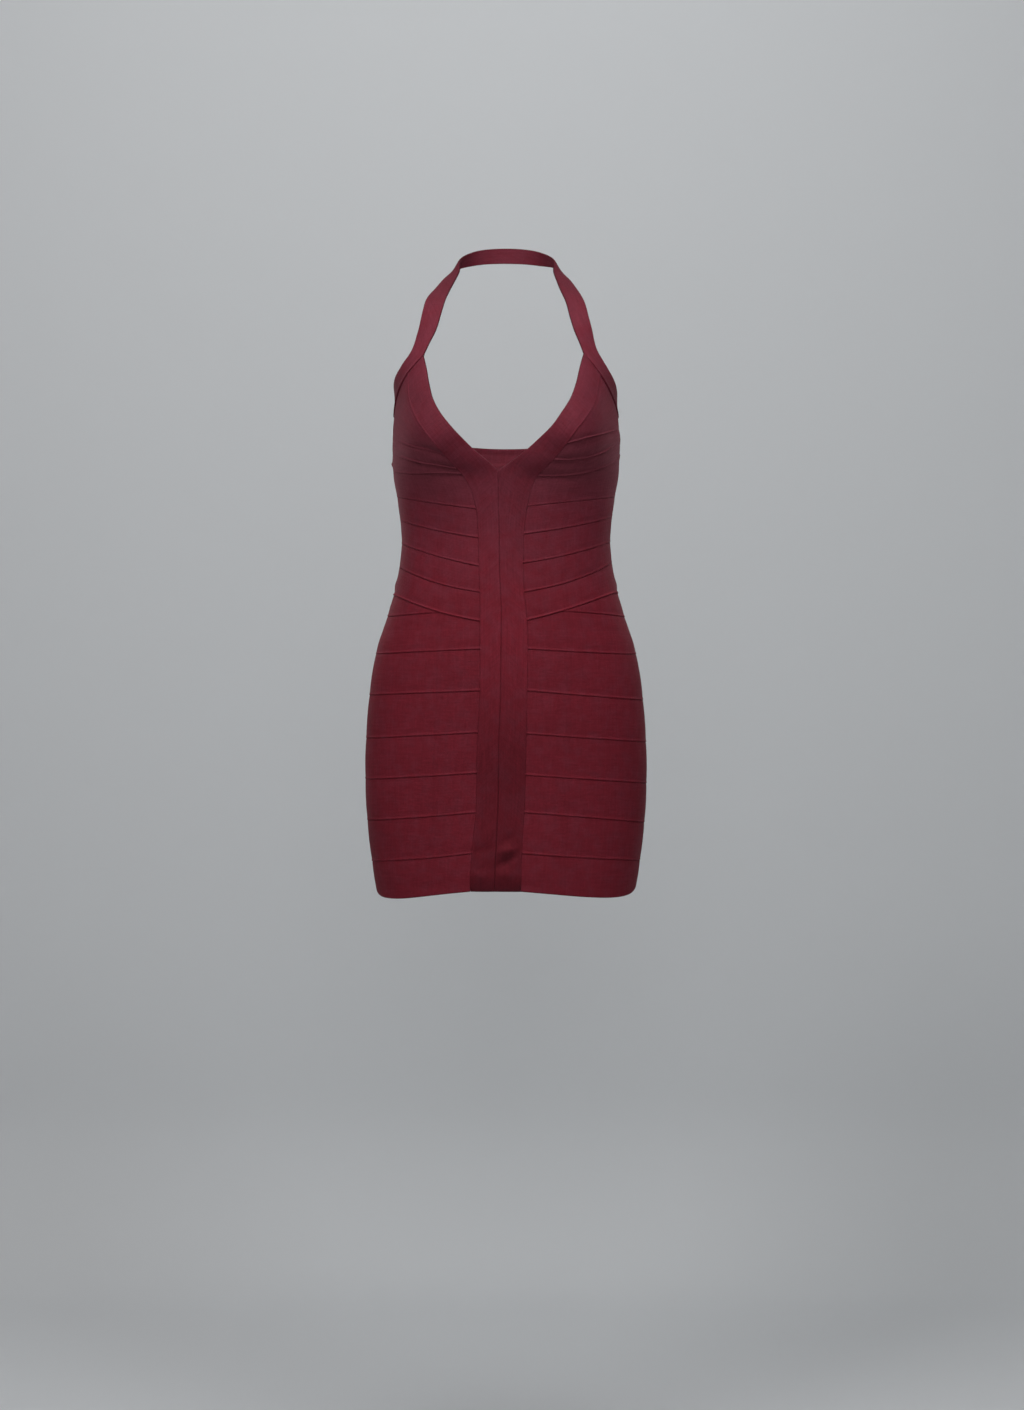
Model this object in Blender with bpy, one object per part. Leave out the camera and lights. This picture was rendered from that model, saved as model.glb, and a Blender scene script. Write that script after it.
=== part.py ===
"""Halter-neck bandage dress in its worn shape: bands of knit cloth, set edge to edge.

Metres, +Z up. The front looks to -Y, so the wearer's left is at +X. The origin is at the nape, in
the middle of the halter band's inner face, and heights are counted from there, so they are negative.
The bands lie on one smooth form. A place on it is an angle round the body (0 at the front, 90 degrees
at the side seams, 180 at the back) and a height.
"""

import math
from collections import namedtuple

import bmesh
import bpy
from mathutils import Vector

# Driving sizes
CLOTH = 0.0020              # wall of the knit cloth
SEAM_GAP = 0.0003           # between two pieces at a seam
HALTER_WIDTH = 0.024        # band along the back's edge and at the side seams
HALTER_TIP_WIDTH = 0.0195   # the same band where it is pulled narrow over a cup's tip
HALTER_SLANT = 1.18         # how much taller that band stands where it crosses a side seam aslant
BODY_AXIS_Y = -0.070        # upright axis of the body, in front of the nape
ROUNDNESS = 0.88            # power of the sections: 1 is an ellipse, less is squarer

# Fineness of the faceted cloth
FRONT_COLUMNS = 9           # cells from the centre band to a side seam
BACK_COLUMNS = 16           # cells from side seam to side seam
CENTRE_COLUMNS = 2          # cells across a centre band
HALTER_COLUMNS = 2          # cells across the halter band
HALTER_TURN_STEPS = 4       # cells in which the halter band's cut turns upright to the side seam
STRAP_STEPS = 15            # cells along the strap, from a cup's tip to the nape
ANGLE_STEP = 1e-4           # steps used to find the form's slopes
HEIGHT_STEP = 1e-5

RIGHT = -1                  # sides as worn: the sign of x
LEFT = 1
SIDE_NAMES = {RIGHT: "right", LEFT: "left"}
SIDE_SEAM = math.radians(90.0)
HALF_TURN = math.radians(180.0)
WEDGE_START = {RIGHT: 0.262, LEFT: 0.224}       # share of the side panel where the hip wedge begins

# The form: level sections, with the depths in front of the axis and behind it
Section = namedtuple("Section", "height half_width front back")
SECTIONS = (
    Section(-0.790, 0.1520, 0.0950, 0.0980),
    Section(-0.740, 0.1600, 0.0970, 0.1060),
    Section(-0.690, 0.1658, 0.0980, 0.1160),
    Section(-0.630, 0.1684, 0.0990, 0.1250),
    Section(-0.570, 0.1662, 0.1000, 0.1210),
    Section(-0.510, 0.1595, 0.0990, 0.1060),
    Section(-0.480, 0.1534, 0.0973, 0.0957),
    Section(-0.450, 0.1434, 0.0950, 0.0850),
    Section(-0.400, 0.1300, 0.0890, 0.0680),
    Section(-0.355, 0.1247, 0.0850, 0.0640),
    Section(-0.310, 0.1290, 0.0860, 0.0710),
    Section(-0.275, 0.1346, 0.0888, 0.0780),
    Section(-0.235, 0.1356, 0.0920, 0.0850),
    Section(-0.190, 0.1330, 0.0830, 0.0890),
    Section(-0.150, 0.1326, 0.0730, 0.0900),
    Section(-0.100, 0.1300, 0.0640, 0.0900),
)

# The cups: a smooth bulge on each side of the front
CUP_OUT = 0.090             # from the body's middle to the fullest point
CUP_HEIGHT = -0.230
CUP_DEPTH = 0.036
CUP_SPREAD = 0.047          # outwards
CUP_SPREAD_IN = 0.050       # towards the body's middle
CUP_RISE = 0.069            # above the fullest point
CUP_FALL = 0.048            # below it
CUP_FULLNESS = 1.25         # 1 is a bell, more is flatter on top and steeper at the sides

# The neckline runs taut from cup to cup, so the cloth there stands a little further forward
BRIDGE_OUT = 0.030
BRIDGE_HEIGHT = -0.262
BRIDGE_DEPTH = 0.0045
BRIDGE_SPREAD = 0.018
BRIDGE_RISE = 0.016

# Neckline, as x on each side
Edge = namedtuple("Edge", "height right left")
NECKLINE = (
    Edge(-0.278, -0.0094, -0.0094),
    Edge(-0.267, -0.0217, 0.0070),
    Edge(-0.255, -0.0367, 0.0232),
    Edge(-0.242, -0.0504, 0.0380),
    Edge(-0.228, -0.0636, 0.0527),
    Edge(-0.212, -0.0762, 0.0642),
    Edge(-0.195, -0.0850, 0.0748),
    Edge(-0.175, -0.0903, 0.0823),
    Edge(-0.155, -0.0940, 0.0872),
    Edge(-0.137, -0.0986, 0.0922),
)
V_HEIGHT = NECKLINE[0].height
TIP_HEIGHT = {RIGHT: -0.140, LEFT: -0.137}      # where the halter band crosses the neckline

# Outer seams of the two centre bands, as x on each side
OUTER_SEAM = (
    Edge(-0.790, -0.0420, 0.0177),
    Edge(-0.767, -0.0416, 0.0177),
    Edge(-0.722, -0.0393, 0.0184),
    Edge(-0.675, -0.0346, 0.0214),
    Edge(-0.606, -0.0334, 0.0234),
    Edge(-0.534, -0.0299, 0.0246),
    Edge(-0.452, -0.0300, 0.0246),
    Edge(-0.418, -0.0301, 0.0212),
    Edge(-0.385, -0.0312, 0.0200),
    Edge(-0.350, -0.0322, 0.0210),
    Edge(-0.320, -0.0350, 0.0250),
    Edge(-0.300, -0.0409, 0.0293),
    Edge(-0.284, -0.0501, 0.0370),
    Edge(-0.267, -0.0663, 0.0540),
    Edge(-0.250, -0.0820, 0.0700),
    Edge(-0.235, -0.0933, 0.0808),
    Edge(-0.220, -0.1024, 0.0919),
    Edge(-0.200, -0.1110, 0.1034),
    Edge(-0.180, -0.1148, 0.1085),
    Edge(-0.160, -0.1162, 0.1119),
)

# Centre front seam between the two centre bands
CentreSeam = namedtuple("CentreSeam", "height out")
CENTRE_SEAM = (
    CentreSeam(-0.790, -0.0138),
    CentreSeam(-0.767, -0.0130),
    CentreSeam(-0.731, -0.0119),
    CentreSeam(-0.661, -0.0088),
    CentreSeam(-0.592, -0.0080),
    CentreSeam(-0.545, -0.0062),
    CentreSeam(-0.487, -0.0056),
    CentreSeam(-0.440, -0.0052),
    CentreSeam(-0.405, -0.0068),
    CentreSeam(-0.335, -0.0080),
    CentreSeam(-0.278, -0.0094),
)

# Height on a centre band's inner edge that lies square across from a height on its outer seam
Across = namedtuple("Across", "outer inner")
ACROSS = (
    Across(-0.790, -0.790),
    Across(-0.418, -0.418),
    Across(-0.385, -0.383),
    Across(-0.350, -0.3425),
    Across(-0.320, -0.3065),
    Across(-0.296, -0.278),
    Across(-0.284, -0.264),
    Across(-0.267, -0.247),
    Across(-0.250, -0.232),
    Across(-0.235, -0.219),
    Across(-0.220, -0.206),
    Across(-0.200, -0.191),
    Across(-0.180, -0.1755),
)

# Seams of the side panels: heights at the centre band, one and two thirds out, and at the side seam
Seam = namedtuple("Seam", "centre inner outer side")
FRONT_SEAMS = {
    RIGHT: {
        "armhole": Seam(-0.1600, -0.1745, -0.1893, -0.2070),
        "cup": Seam(-0.2615, -0.2475, -0.2355, -0.2300),
        "bust_1": Seam(-0.2750, -0.2665, -0.2550, -0.2500),
        "bust_2": Seam(-0.2813, -0.2795, -0.2755, -0.2650),
        "bodice_1": Seam(-0.3210, -0.3130, -0.3055, -0.3000),
        "bodice_2": Seam(-0.3550, -0.3450, -0.3350, -0.3265),
        "bodice_3": Seam(-0.3880, -0.3750, -0.3630, -0.3565),
        "bodice_4": Seam(-0.4185, -0.4060, -0.3920, -0.3855),
        "waist": Seam(-0.4525, -0.4380, -0.4240, -0.4190),
        "hip": Seam(-0.4410, -0.4425, -0.4445, -0.4435),
        "skirt_1": Seam(-0.4850, -0.4875, -0.4890, -0.4890),
        "skirt_2": Seam(-0.5335, -0.5360, -0.5375, -0.5380),
        "skirt_3": Seam(-0.5820, -0.5860, -0.5885, -0.5890),
        "skirt_4": Seam(-0.6290, -0.6340, -0.6370, -0.6380),
        "skirt_5": Seam(-0.6750, -0.6815, -0.6855, -0.6875),
        "skirt_6": Seam(-0.7225, -0.7300, -0.7340, -0.7370),
        "hem": Seam(-0.7680, -0.7755, -0.7793, -0.7710),
    },
    LEFT: {
        "armhole": Seam(-0.1620, -0.1785, -0.1940, -0.2078),
        "cup": Seam(-0.2475, -0.2350, -0.2245, -0.2190),
        "bust_1": Seam(-0.2635, -0.2605, -0.2435, -0.2385),
        "bust_2": Seam(-0.2830, -0.2795, -0.2645, -0.2510),
        "bodice_1": Seam(-0.3180, -0.3110, -0.3050, -0.2990),
        "bodice_2": Seam(-0.3505, -0.3410, -0.3310, -0.3235),
        "bodice_3": Seam(-0.3845, -0.3730, -0.3610, -0.3545),
        "bodice_4": Seam(-0.4185, -0.4040, -0.3880, -0.3785),
        "waist": Seam(-0.4515, -0.4340, -0.4200, -0.4165),
        "hip": Seam(-0.4400, -0.4415, -0.4440, -0.4445),
        "skirt_1": Seam(-0.4850, -0.4885, -0.4895, -0.4885),
        "skirt_2": Seam(-0.5335, -0.5395, -0.5430, -0.5435),
        "skirt_3": Seam(-0.5835, -0.5890, -0.5925, -0.5940),
        "skirt_4": Seam(-0.6315, -0.6370, -0.6410, -0.6435),
        "skirt_5": Seam(-0.6750, -0.6815, -0.6870, -0.6900),
        "skirt_6": Seam(-0.7225, -0.7285, -0.7325, -0.7355),
        "hem": Seam(-0.7680, -0.7750, -0.7770, -0.7660),
    },
}

# Pieces of a side panel, top to bottom: the seams above and below, and the rows of cells
Piece = namedtuple("Piece", "name top bottom rows")
FRONT_PIECES = (
    Piece("cup", "armhole", "cup", 5),
    Piece("bust_band_1", "cup", "bust_1", 2),
    Piece("bust_band_2", "bust_1", "bust_2", 2),
    Piece("bodice_band_1", "bust_2", "bodice_1", 3),
    Piece("bodice_band_2", "bodice_1", "bodice_2", 2),
    Piece("bodice_band_3", "bodice_2", "bodice_3", 2),
    Piece("bodice_band_4", "bodice_3", "bodice_4", 2),
    Piece("bodice_band_5", "bodice_4", "waist", 2),
    Piece("skirt_band_1", "skirt_top", "skirt_1", 2),
    Piece("skirt_band_2", "skirt_1", "skirt_2", 2),
    Piece("skirt_band_3", "skirt_2", "skirt_3", 2),
    Piece("skirt_band_4", "skirt_3", "skirt_4", 2),
    Piece("skirt_band_5", "skirt_4", "skirt_5", 2),
    Piece("skirt_band_6", "skirt_5", "skirt_6", 2),
    Piece("hem_band", "skirt_6", "hem", 2),
)
WEDGE = Piece("hip_wedge", "waist", "skirt_top", 2)

# Seams of the back: the front seam met at each side, and how far the middle sags below the sides
BackSeam = namedtuple("BackSeam", "meets sag")
BACK_SEAMS = {
    "armhole": BackSeam("armhole", 0.053),
    "back_1": BackSeam("bust_1", 0.050),
    "back_2": BackSeam("bodice_1", 0.041),
    "back_3": BackSeam("bodice_3", 0.029),
    "waist": BackSeam("waist", 0.012),
    "hip": BackSeam("hip", 0.012),
    "skirt_1": BackSeam("skirt_1", 0.004),
    "skirt_2": BackSeam("skirt_2", 0.001),
    "skirt_3": BackSeam("skirt_3", 0.0),
    "skirt_4": BackSeam("skirt_4", 0.0),
    "skirt_5": BackSeam("skirt_5", 0.0),
    "skirt_6": BackSeam("skirt_6", 0.001),
    "hem": BackSeam("hem", 0.009),
}
BACK_PIECES = (
    Piece("back_bodice_band_1", "armhole", "back_1", 3),
    Piece("back_bodice_band_2", "back_1", "back_2", 3),
    Piece("back_bodice_band_3", "back_2", "back_3", 3),
    Piece("back_bodice_band_4", "back_3", "waist", 3),
    Piece("back_hip_band", "waist", "hip", 2),
    Piece("back_skirt_band_1", "hip", "skirt_1", 2),
    Piece("back_skirt_band_2", "skirt_1", "skirt_2", 2),
    Piece("back_skirt_band_3", "skirt_2", "skirt_3", 2),
    Piece("back_skirt_band_4", "skirt_3", "skirt_4", 2),
    Piece("back_skirt_band_5", "skirt_4", "skirt_5", 2),
    Piece("back_skirt_band_6", "skirt_5", "skirt_6", 2),
    Piece("back_hem_band", "skirt_6", "hem", 2),
)

# The strap above each cup: its middle line (out is the distance from the body's middle, depth is
# from the body's axis), where its face looks (turned out from the front, and up) and its width
Strap = namedtuple("Strap", "out depth height turned_out up width")
STRAPS = {
    RIGHT: (
        Strap(0.1002, -0.0475, -0.1234, 36.0, 6.0, 0.0205),
        Strap(0.0936, -0.0440, -0.1070, 24.0, 14.0, 0.0225),
        Strap(0.0884, -0.0350, -0.0855, 16.0, 28.0, 0.0235),
        Strap(0.0841, -0.0190, -0.0675, 8.0, 46.0, 0.0230),
        Strap(0.0762, 0.0020, -0.0510, 4.0, 52.0, 0.0180),
        Strap(0.0690, 0.0180, -0.0370, 20.0, 52.0, 0.0160),
        Strap(0.0636, 0.0300, -0.0270, 46.0, 48.0, 0.0150),
        Strap(0.0595, 0.0430, -0.0155, 92.0, 27.0, 0.0140),
        Strap(0.0405, 0.0630, -0.0045, 132.0, 8.0, 0.0160),
    ),
    LEFT: (
        Strap(0.0980, -0.0475, -0.1268, 36.0, 6.0, 0.0205),
        Strap(0.0930, -0.0450, -0.1110, 24.0, 14.0, 0.0225),
        Strap(0.0880, -0.0370, -0.0925, 16.0, 28.0, 0.0230),
        Strap(0.0830, -0.0220, -0.0710, 8.0, 46.0, 0.0222),
        Strap(0.0736, 0.0010, -0.0485, 4.0, 52.0, 0.0190),
        Strap(0.0692, 0.0150, -0.0375, 18.0, 52.0, 0.0172),
        Strap(0.0652, 0.0290, -0.0280, 44.0, 50.0, 0.0158),
        Strap(0.0608, 0.0430, -0.0145, 92.0, 27.0, 0.0130),
        Strap(0.0405, 0.0630, -0.0045, 132.0, 8.0, 0.0160),
    ),
}
NAPE = Strap(0.0, CLOTH - BODY_AXIS_Y, 0.0, 180.0, 0.0, 0.0180)

# Finishes: colour, roughness
Finish = namedtuple("Finish", "colour roughness")
SIDE_KNIT = Finish((0.150, 0.014, 0.024, 1.0), 0.80)
CENTRE_KNIT = Finish((0.130, 0.012, 0.021, 1.0), 0.82)
BACK_KNIT = Finish((0.150, 0.014, 0.024, 1.0), 0.80)
HALTER_KNIT = Finish((0.140, 0.013, 0.022, 1.0), 0.80)


def through(keys, values, at):
    """Value at a key on the smooth curve through the rows, whose keys rise."""
    last = len(keys) - 1
    at = min(max(at, keys[0]), keys[last])
    low = 0
    while low < last - 1 and keys[low + 1] <= at:
        low += 1
    chords = [(values[i + 1] - values[i]) / (keys[i + 1] - keys[i]) for i in range(last)]

    def slope(i):
        if i == 0:
            return chords[0]
        if i == last:
            return chords[last - 1]
        before = keys[i] - keys[i - 1]
        after = keys[i + 1] - keys[i]
        return (chords[i - 1] * after + chords[i] * before) / (before + after)

    span = keys[low + 1] - keys[low]
    t = (at - keys[low]) / span
    start = (1 + 2 * t) * (1 - t) ** 2 * values[low] + t * (1 - t) ** 2 * span * slope(low)
    end = t * t * (3 - 2 * t) * values[low + 1] + t * t * (t - 1) * span * slope(low + 1)
    return start + end


def column(rows, name):
    """One named column of a table."""
    return [getattr(row, name) for row in rows]


def at_height(rows, name, height):
    """A column's value at a height, in a table whose rows go upwards."""
    return through(column(rows, "height"), column(rows, name), height)


def form_point(angle, height):
    """A point of the cloth's outer face."""
    half_width = at_height(SECTIONS, "half_width", height)
    sine = math.sin(angle)
    cosine = math.cos(angle)
    x = math.copysign(half_width * abs(sine) ** ROUNDNESS, sine)
    if cosine >= 0:
        y = -at_height(SECTIONS, "front", height) * cosine ** ROUNDNESS
        spread = CUP_RISE if height > CUP_HEIGHT else CUP_FALL
        sideways = (abs(x) - CUP_OUT) / (CUP_SPREAD if abs(x) > CUP_OUT else CUP_SPREAD_IN)
        upwards = (height - CUP_HEIGHT) / spread
        bulge = math.exp(-((sideways ** 2 + upwards ** 2) ** CUP_FULLNESS))
        y -= CUP_DEPTH * bulge * (1 - sine ** 8)
        sideways = (abs(x) - BRIDGE_OUT) / BRIDGE_SPREAD
        upwards = (height - BRIDGE_HEIGHT) / BRIDGE_RISE
        y -= BRIDGE_DEPTH * math.exp(-(sideways ** 2) - upwards ** 2)
    else:
        y = at_height(SECTIONS, "back", height) * (-cosine) ** ROUNDNESS
    return Vector((x, y + BODY_AXIS_Y, height))


def form_slopes(angle, height):
    """How the form runs round the body and upwards."""
    turned = form_point(angle + ANGLE_STEP, height) - form_point(angle - ANGLE_STEP, height)
    raised = form_point(angle, height + HEIGHT_STEP) - form_point(angle, height - HEIGHT_STEP)
    return turned / (2 * ANGLE_STEP), raised / (2 * HEIGHT_STEP)


def form_normal(angle, height):
    """Straight out of the cloth."""
    turned, raised = form_slopes(angle, height)
    return turned.cross(raised).normalized()


def angle_of(out, height):
    """Angle of the point of the front that lies at x = out."""
    share = min(abs(out) / at_height(SECTIONS, "half_width", height), 1.0)
    return math.copysign(math.asin(share ** (1 / ROUNDNESS)), out)


def seam_height(side, seam, t):
    """Height of a side panel's seam, t = 0 at the centre band and 1 at the side seam."""
    if seam == "skirt_top":
        return min(seam_height(side, "waist", t), seam_height(side, "hip", t))
    row = FRONT_SEAMS[side][seam]
    thirds = (0.0, 1 / 3, 2 / 3, 1.0)
    total = 0.0
    for i, height in enumerate(row):
        weight = 1.0
        for j, other in enumerate(thirds):
            if j != i:
                weight *= (t - other) / (thirds[i] - other)
        total += weight * height
    return total


def panel_place(side, t, height):
    """Angle and height of a place on a side panel."""
    seam_out = at_height(OUTER_SEAM, SIDE_NAMES[side], height)
    start = angle_of(seam_out, height)
    return start + t * (side * SIDE_SEAM - start), height


def panel_grid(side, piece, shares):
    """Places on a piece of a side panel: rows from its upper seam to its lower one."""
    grid = []
    for i in range(piece.rows + 1):
        row = []
        for t in shares:
            top = seam_height(side, piece.top, t)
            bottom = seam_height(side, piece.bottom, t)
            row.append(panel_place(side, t, top + (bottom - top) * i / piece.rows))
        grid.append(row)
    return grid


def back_height(seam, share):
    """Height of a back seam, share = 0 at the right side seam and 1 at the left one."""
    row = BACK_SEAMS[seam]
    right = FRONT_SEAMS[RIGHT][row.meets].side
    left = FRONT_SEAMS[LEFT][row.meets].side
    return right + (left - right) * share - row.sag * (1 - (2 * share - 1) ** 2)


def back_grid(top, bottom, rows):
    """Places on a piece of the back, from the left side seam round to the right one."""
    grid = []
    for i in range(rows + 1):
        row = []
        for j in range(BACK_COLUMNS + 1):
            share = 1 - j / BACK_COLUMNS
            angle = SIDE_SEAM + (1 - share) * HALF_TURN
            height = top(share) + (bottom(share) - top(share)) * i / rows
            row.append((angle, height))
        grid.append(row)
    return grid


def inner_height(side, outer_height):
    """Height on a centre band's inner edge, square across from one on its outer seam."""
    top = FRONT_SEAMS[side]["armhole"].centre
    outer = column(ACROSS, "outer") + [top]
    inner = column(ACROSS, "inner") + [TIP_HEIGHT[side]]
    return through(outer, inner, outer_height)


def inner_out(side, height):
    """x of a centre band's inner edge: the neckline, then the centre seam."""
    if height > V_HEIGHT:
        return at_height(NECKLINE, SIDE_NAMES[side], height)
    return at_height(CENTRE_SEAM, "out", height)


def centre_row(side, outer_height):
    """Places across a centre band, from its outer seam to its inner edge."""
    outer_x = at_height(OUTER_SEAM, SIDE_NAMES[side], outer_height)
    height_in = inner_height(side, outer_height)
    inner_x = inner_out(side, height_in)
    row = []
    for i in range(CENTRE_COLUMNS + 1):
        share = i / CENTRE_COLUMNS
        out = outer_x + (inner_x - outer_x) * share
        height = outer_height + (height_in - outer_height) * share
        row.append((angle_of(out, height), height))
    return row


def centre_grid(side):
    """Places on a centre band, with a row at each row of the side panel's pieces."""
    heights = [FRONT_SEAMS[side]["armhole"].centre]
    for piece in FRONT_PIECES:
        top = heights[-1]
        bottom = seam_height(side, piece.bottom, 0.0)
        heights += [top + (bottom - top) * i / piece.rows for i in range(1, piece.rows + 1)]
    return [centre_row(side, height) for height in heights]


def step_on_form(place, across, distance):
    """Place reached from another by going a distance across the cloth."""
    angle, height = place
    target = form_point(angle, height) + across * distance
    for _ in range(6):
        turned, raised = form_slopes(angle, height)
        miss = target - form_point(angle, height)
        tt = turned.dot(turned)
        tr = turned.dot(raised)
        rr = raised.dot(raised)
        det = tt * rr - tr * tr
        angle += (miss.dot(turned) * rr - miss.dot(raised) * tr) / det
        height += (miss.dot(raised) * tt - miss.dot(turned) * tr) / det
    return angle, height


def halter_on_form(side):
    """Stations of the halter band from the side seam along the armhole seam to the cup's tip."""
    seam = []
    for i in range(FRONT_COLUMNS, -1, -1):
        t = i / FRONT_COLUMNS
        seam.append(panel_place(side, t, seam_height(side, "armhole", t)))
    seam += centre_row(side, FRONT_SEAMS[side]["armhole"].centre)[1:]
    points = [form_point(*place) for place in seam]
    stations = []
    for i, (angle, height) in enumerate(seam):
        upright = max(1 - i / HALTER_TURN_STEPS, 0.0)
        width = HALTER_WIDTH + (HALTER_TIP_WIDTH - HALTER_WIDTH) * i / (len(seam) - 1)
        along = points[min(i + 1, len(points) - 1)] - points[max(i - 1, 0)]
        square = along.normalized().cross(form_normal(angle, height)) * side
        across = square.lerp(form_slopes(angle, height)[1].normalized(), upright).normalized()
        places = [(angle, height)]
        for step in range(1, HALTER_COLUMNS + 1):
            share = step / HALTER_COLUMNS
            if i == 0:
                places.append((angle, height + width * HALTER_SLANT * share))
            else:
                distance = width * share / across.dot(square)
                places.append(step_on_form((angle, height), across, distance))
        stations.append([(form_point(*spot), form_normal(*spot)) for spot in places])
    return stations


def strap_rows(side, tip):
    """The strap's table as vectors: middle line, facing and width, from the cup's tip to the nape."""
    (neck_edge, normal), (arm_edge, arm_normal) = tip[0], tip[-1]
    middles = [tip[len(tip) // 2][0]]
    facings = [(normal + arm_normal).normalized()]
    widths = [(neck_edge - arm_edge).length]
    for row in STRAPS[side] + (NAPE,):
        middles.append(Vector((side * row.out, row.depth + BODY_AXIS_Y, row.height)))
        turned = math.radians(row.turned_out)
        up = math.radians(row.up)
        level = Vector((side * math.sin(turned), -math.cos(turned), 0.0))
        facings.append(level * math.cos(up) + Vector((0.0, 0.0, math.sin(up))))
        widths.append(row.width)
    return middles, facings, widths


def strap_stations(side, tip):
    """Stations of the strap from just above the cup's tip to the nape."""
    middles, facings, widths = strap_rows(side, tip)
    keys = [0.0]
    for before, after in zip(middles, middles[1:]):
        keys.append(keys[-1] + (after - before).length)

    def smooth(vectors, at):
        return Vector([through(keys, [vector[axis] for vector in vectors], at) for axis in range(3)])

    stations = []
    for i in range(1, STRAP_STEPS + 1):
        at = keys[-1] * i / STRAP_STEPS
        middle = smooth(middles, at)
        if i == STRAP_STEPS:
            along = Vector((-side, 0.0, 0.0))
        else:
            along = smooth(middles, at + CLOTH) - smooth(middles, at - CLOTH)
        facing = smooth(facings, at)
        across = along.cross(facing).normalized() * -side
        facing = across.cross(along).normalized() * -side
        width = through(keys, widths, at)
        station = []
        for step in range(HALTER_COLUMNS + 1):
            share = 0.5 - step / HALTER_COLUMNS
            station.append((middle + across * width * share, facing))
        stations.append(station)
    return stations


def halter_stations():
    """The whole halter band, from the right side seam over the nape to the left side seam."""
    halves = {}
    for side in (RIGHT, LEFT):
        on_form = halter_on_form(side)
        halves[side] = on_form + strap_stations(side, on_form[-1])
    return halves[RIGHT] + halves[LEFT][-2::-1]


def pulled_in(points):
    """A grid of points with its four edges drawn in by half a seam gap."""
    last_row = len(points) - 1
    last_column = len(points[0]) - 1
    moved = [[point.copy() for point in row] for row in points]
    for i, row in enumerate(points):
        for j, point in enumerate(row):
            neighbours = []
            if i in (0, last_row):
                neighbours.append(points[1 if i == 0 else last_row - 1][j])
            if j in (0, last_column):
                neighbours.append(row[1 if j == 0 else last_column - 1])
            for neighbour in neighbours:
                moved[i][j] += (neighbour - point).normalized() * SEAM_GAP / 2
    return moved


def knit_material(name, finish):
    """A plain matt knit."""
    material = bpy.data.materials.new(name)
    material.use_nodes = True
    shader = material.node_tree.nodes["Principled BSDF"]
    shader.inputs["Base Color"].default_value = finish.colour
    shader.inputs["Roughness"].default_value = finish.roughness
    shader.inputs["Metallic"].default_value = 0.0
    material.diffuse_color = finish.colour
    return material


def cloth_wall(name, points, normals, material):
    """A closed wall of cloth: the points are its outer face, the normals point out of it."""
    outer_points = pulled_in(points)
    mesh = bmesh.new()
    outer = [[mesh.verts.new(point) for point in row] for row in outer_points]
    inner = []
    for point_row, normal_row in zip(outer_points, normals):
        inner.append([mesh.verts.new(p - n * CLOTH) for p, n in zip(point_row, normal_row)])
    rows = len(points)
    columns = len(points[0])
    for i in range(rows - 1):
        for j in range(columns - 1):
            mesh.faces.new((outer[i][j], outer[i + 1][j], outer[i + 1][j + 1], outer[i][j + 1]))
            mesh.faces.new((inner[i][j], inner[i][j + 1], inner[i + 1][j + 1], inner[i + 1][j]))
    rim = [(0, j) for j in range(columns)]
    rim += [(i, columns - 1) for i in range(1, rows)]
    rim += [(rows - 1, j) for j in range(columns - 2, -1, -1)]
    rim += [(i, 0) for i in range(rows - 2, 0, -1)]
    for (i, j), (k, m) in zip(rim, rim[1:] + rim[:1]):
        mesh.faces.new((outer[i][j], outer[k][m], inner[k][m], inner[i][j]))
    bmesh.ops.triangulate(mesh, faces=mesh.faces[:])
    bmesh.ops.recalc_face_normals(mesh, faces=mesh.faces[:])
    data = bpy.data.meshes.new(name)
    mesh.to_mesh(data)
    mesh.free()
    data.materials.append(material)
    piece = bpy.data.objects.new(name, data)
    bpy.context.collection.objects.link(piece)
    return piece


def cloth_on_form(name, grid, material):
    """A wall of cloth on the form, from the places of its outer face."""
    points = [[form_point(*place) for place in row] for row in grid]
    normals = [[form_normal(*place) for place in row] for row in grid]
    return cloth_wall(name, points, normals, material)


def front(side):
    """The centre band and the side panel's pieces on one side."""
    suffix = "_" + SIDE_NAMES[side]
    material = knit_material("side_knit" + suffix, SIDE_KNIT)
    shares = [i / FRONT_COLUMNS for i in range(FRONT_COLUMNS + 1)]
    for piece in FRONT_PIECES:
        cloth_on_form(piece.name + suffix, panel_grid(side, piece, shares), material)
    start = WEDGE_START[side]
    wedge_shares = [start] + [t for t in shares if t > start]
    cloth_on_form(WEDGE.name + suffix, panel_grid(side, WEDGE, wedge_shares), material)
    centre_material = knit_material("centre_knit" + suffix, CENTRE_KNIT)
    cloth_on_form("centre_band" + suffix, centre_grid(side), centre_material)


def back():
    """The band along the back's upper edge, and the pieces below it."""
    material = knit_material("back_knit", BACK_KNIT)

    def edge(share):
        slant = 1 + (HALTER_SLANT - 1) * (2 * share - 1) ** 2
        return back_height("armhole", share) + HALTER_WIDTH * slant

    def armhole(share):
        return back_height("armhole", share)

    cloth_on_form("back_top_band", back_grid(edge, armhole, 2), material)
    for piece in BACK_PIECES:
        def top(share, seam=piece.top):
            return back_height(seam, share)

        def bottom(share, seam=piece.bottom):
            return back_height(seam, share)

        cloth_on_form(piece.name, back_grid(top, bottom, piece.rows), material)


def halter():
    """The band round both armholes and the neck, in one piece."""
    stations = halter_stations()
    points = [[point for point, _ in station] for station in stations]
    normals = [[normal for _, normal in station] for station in stations]
    cloth_wall("halter_band", points, normals, knit_material("halter_knit", HALTER_KNIT))


def main():
    for thing in list(bpy.data.objects):
        bpy.data.objects.remove(thing, do_unlink=True)
    for side in (RIGHT, LEFT):
        front(side)
    halter()
    back()


main()
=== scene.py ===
import math
from collections import namedtuple

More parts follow.
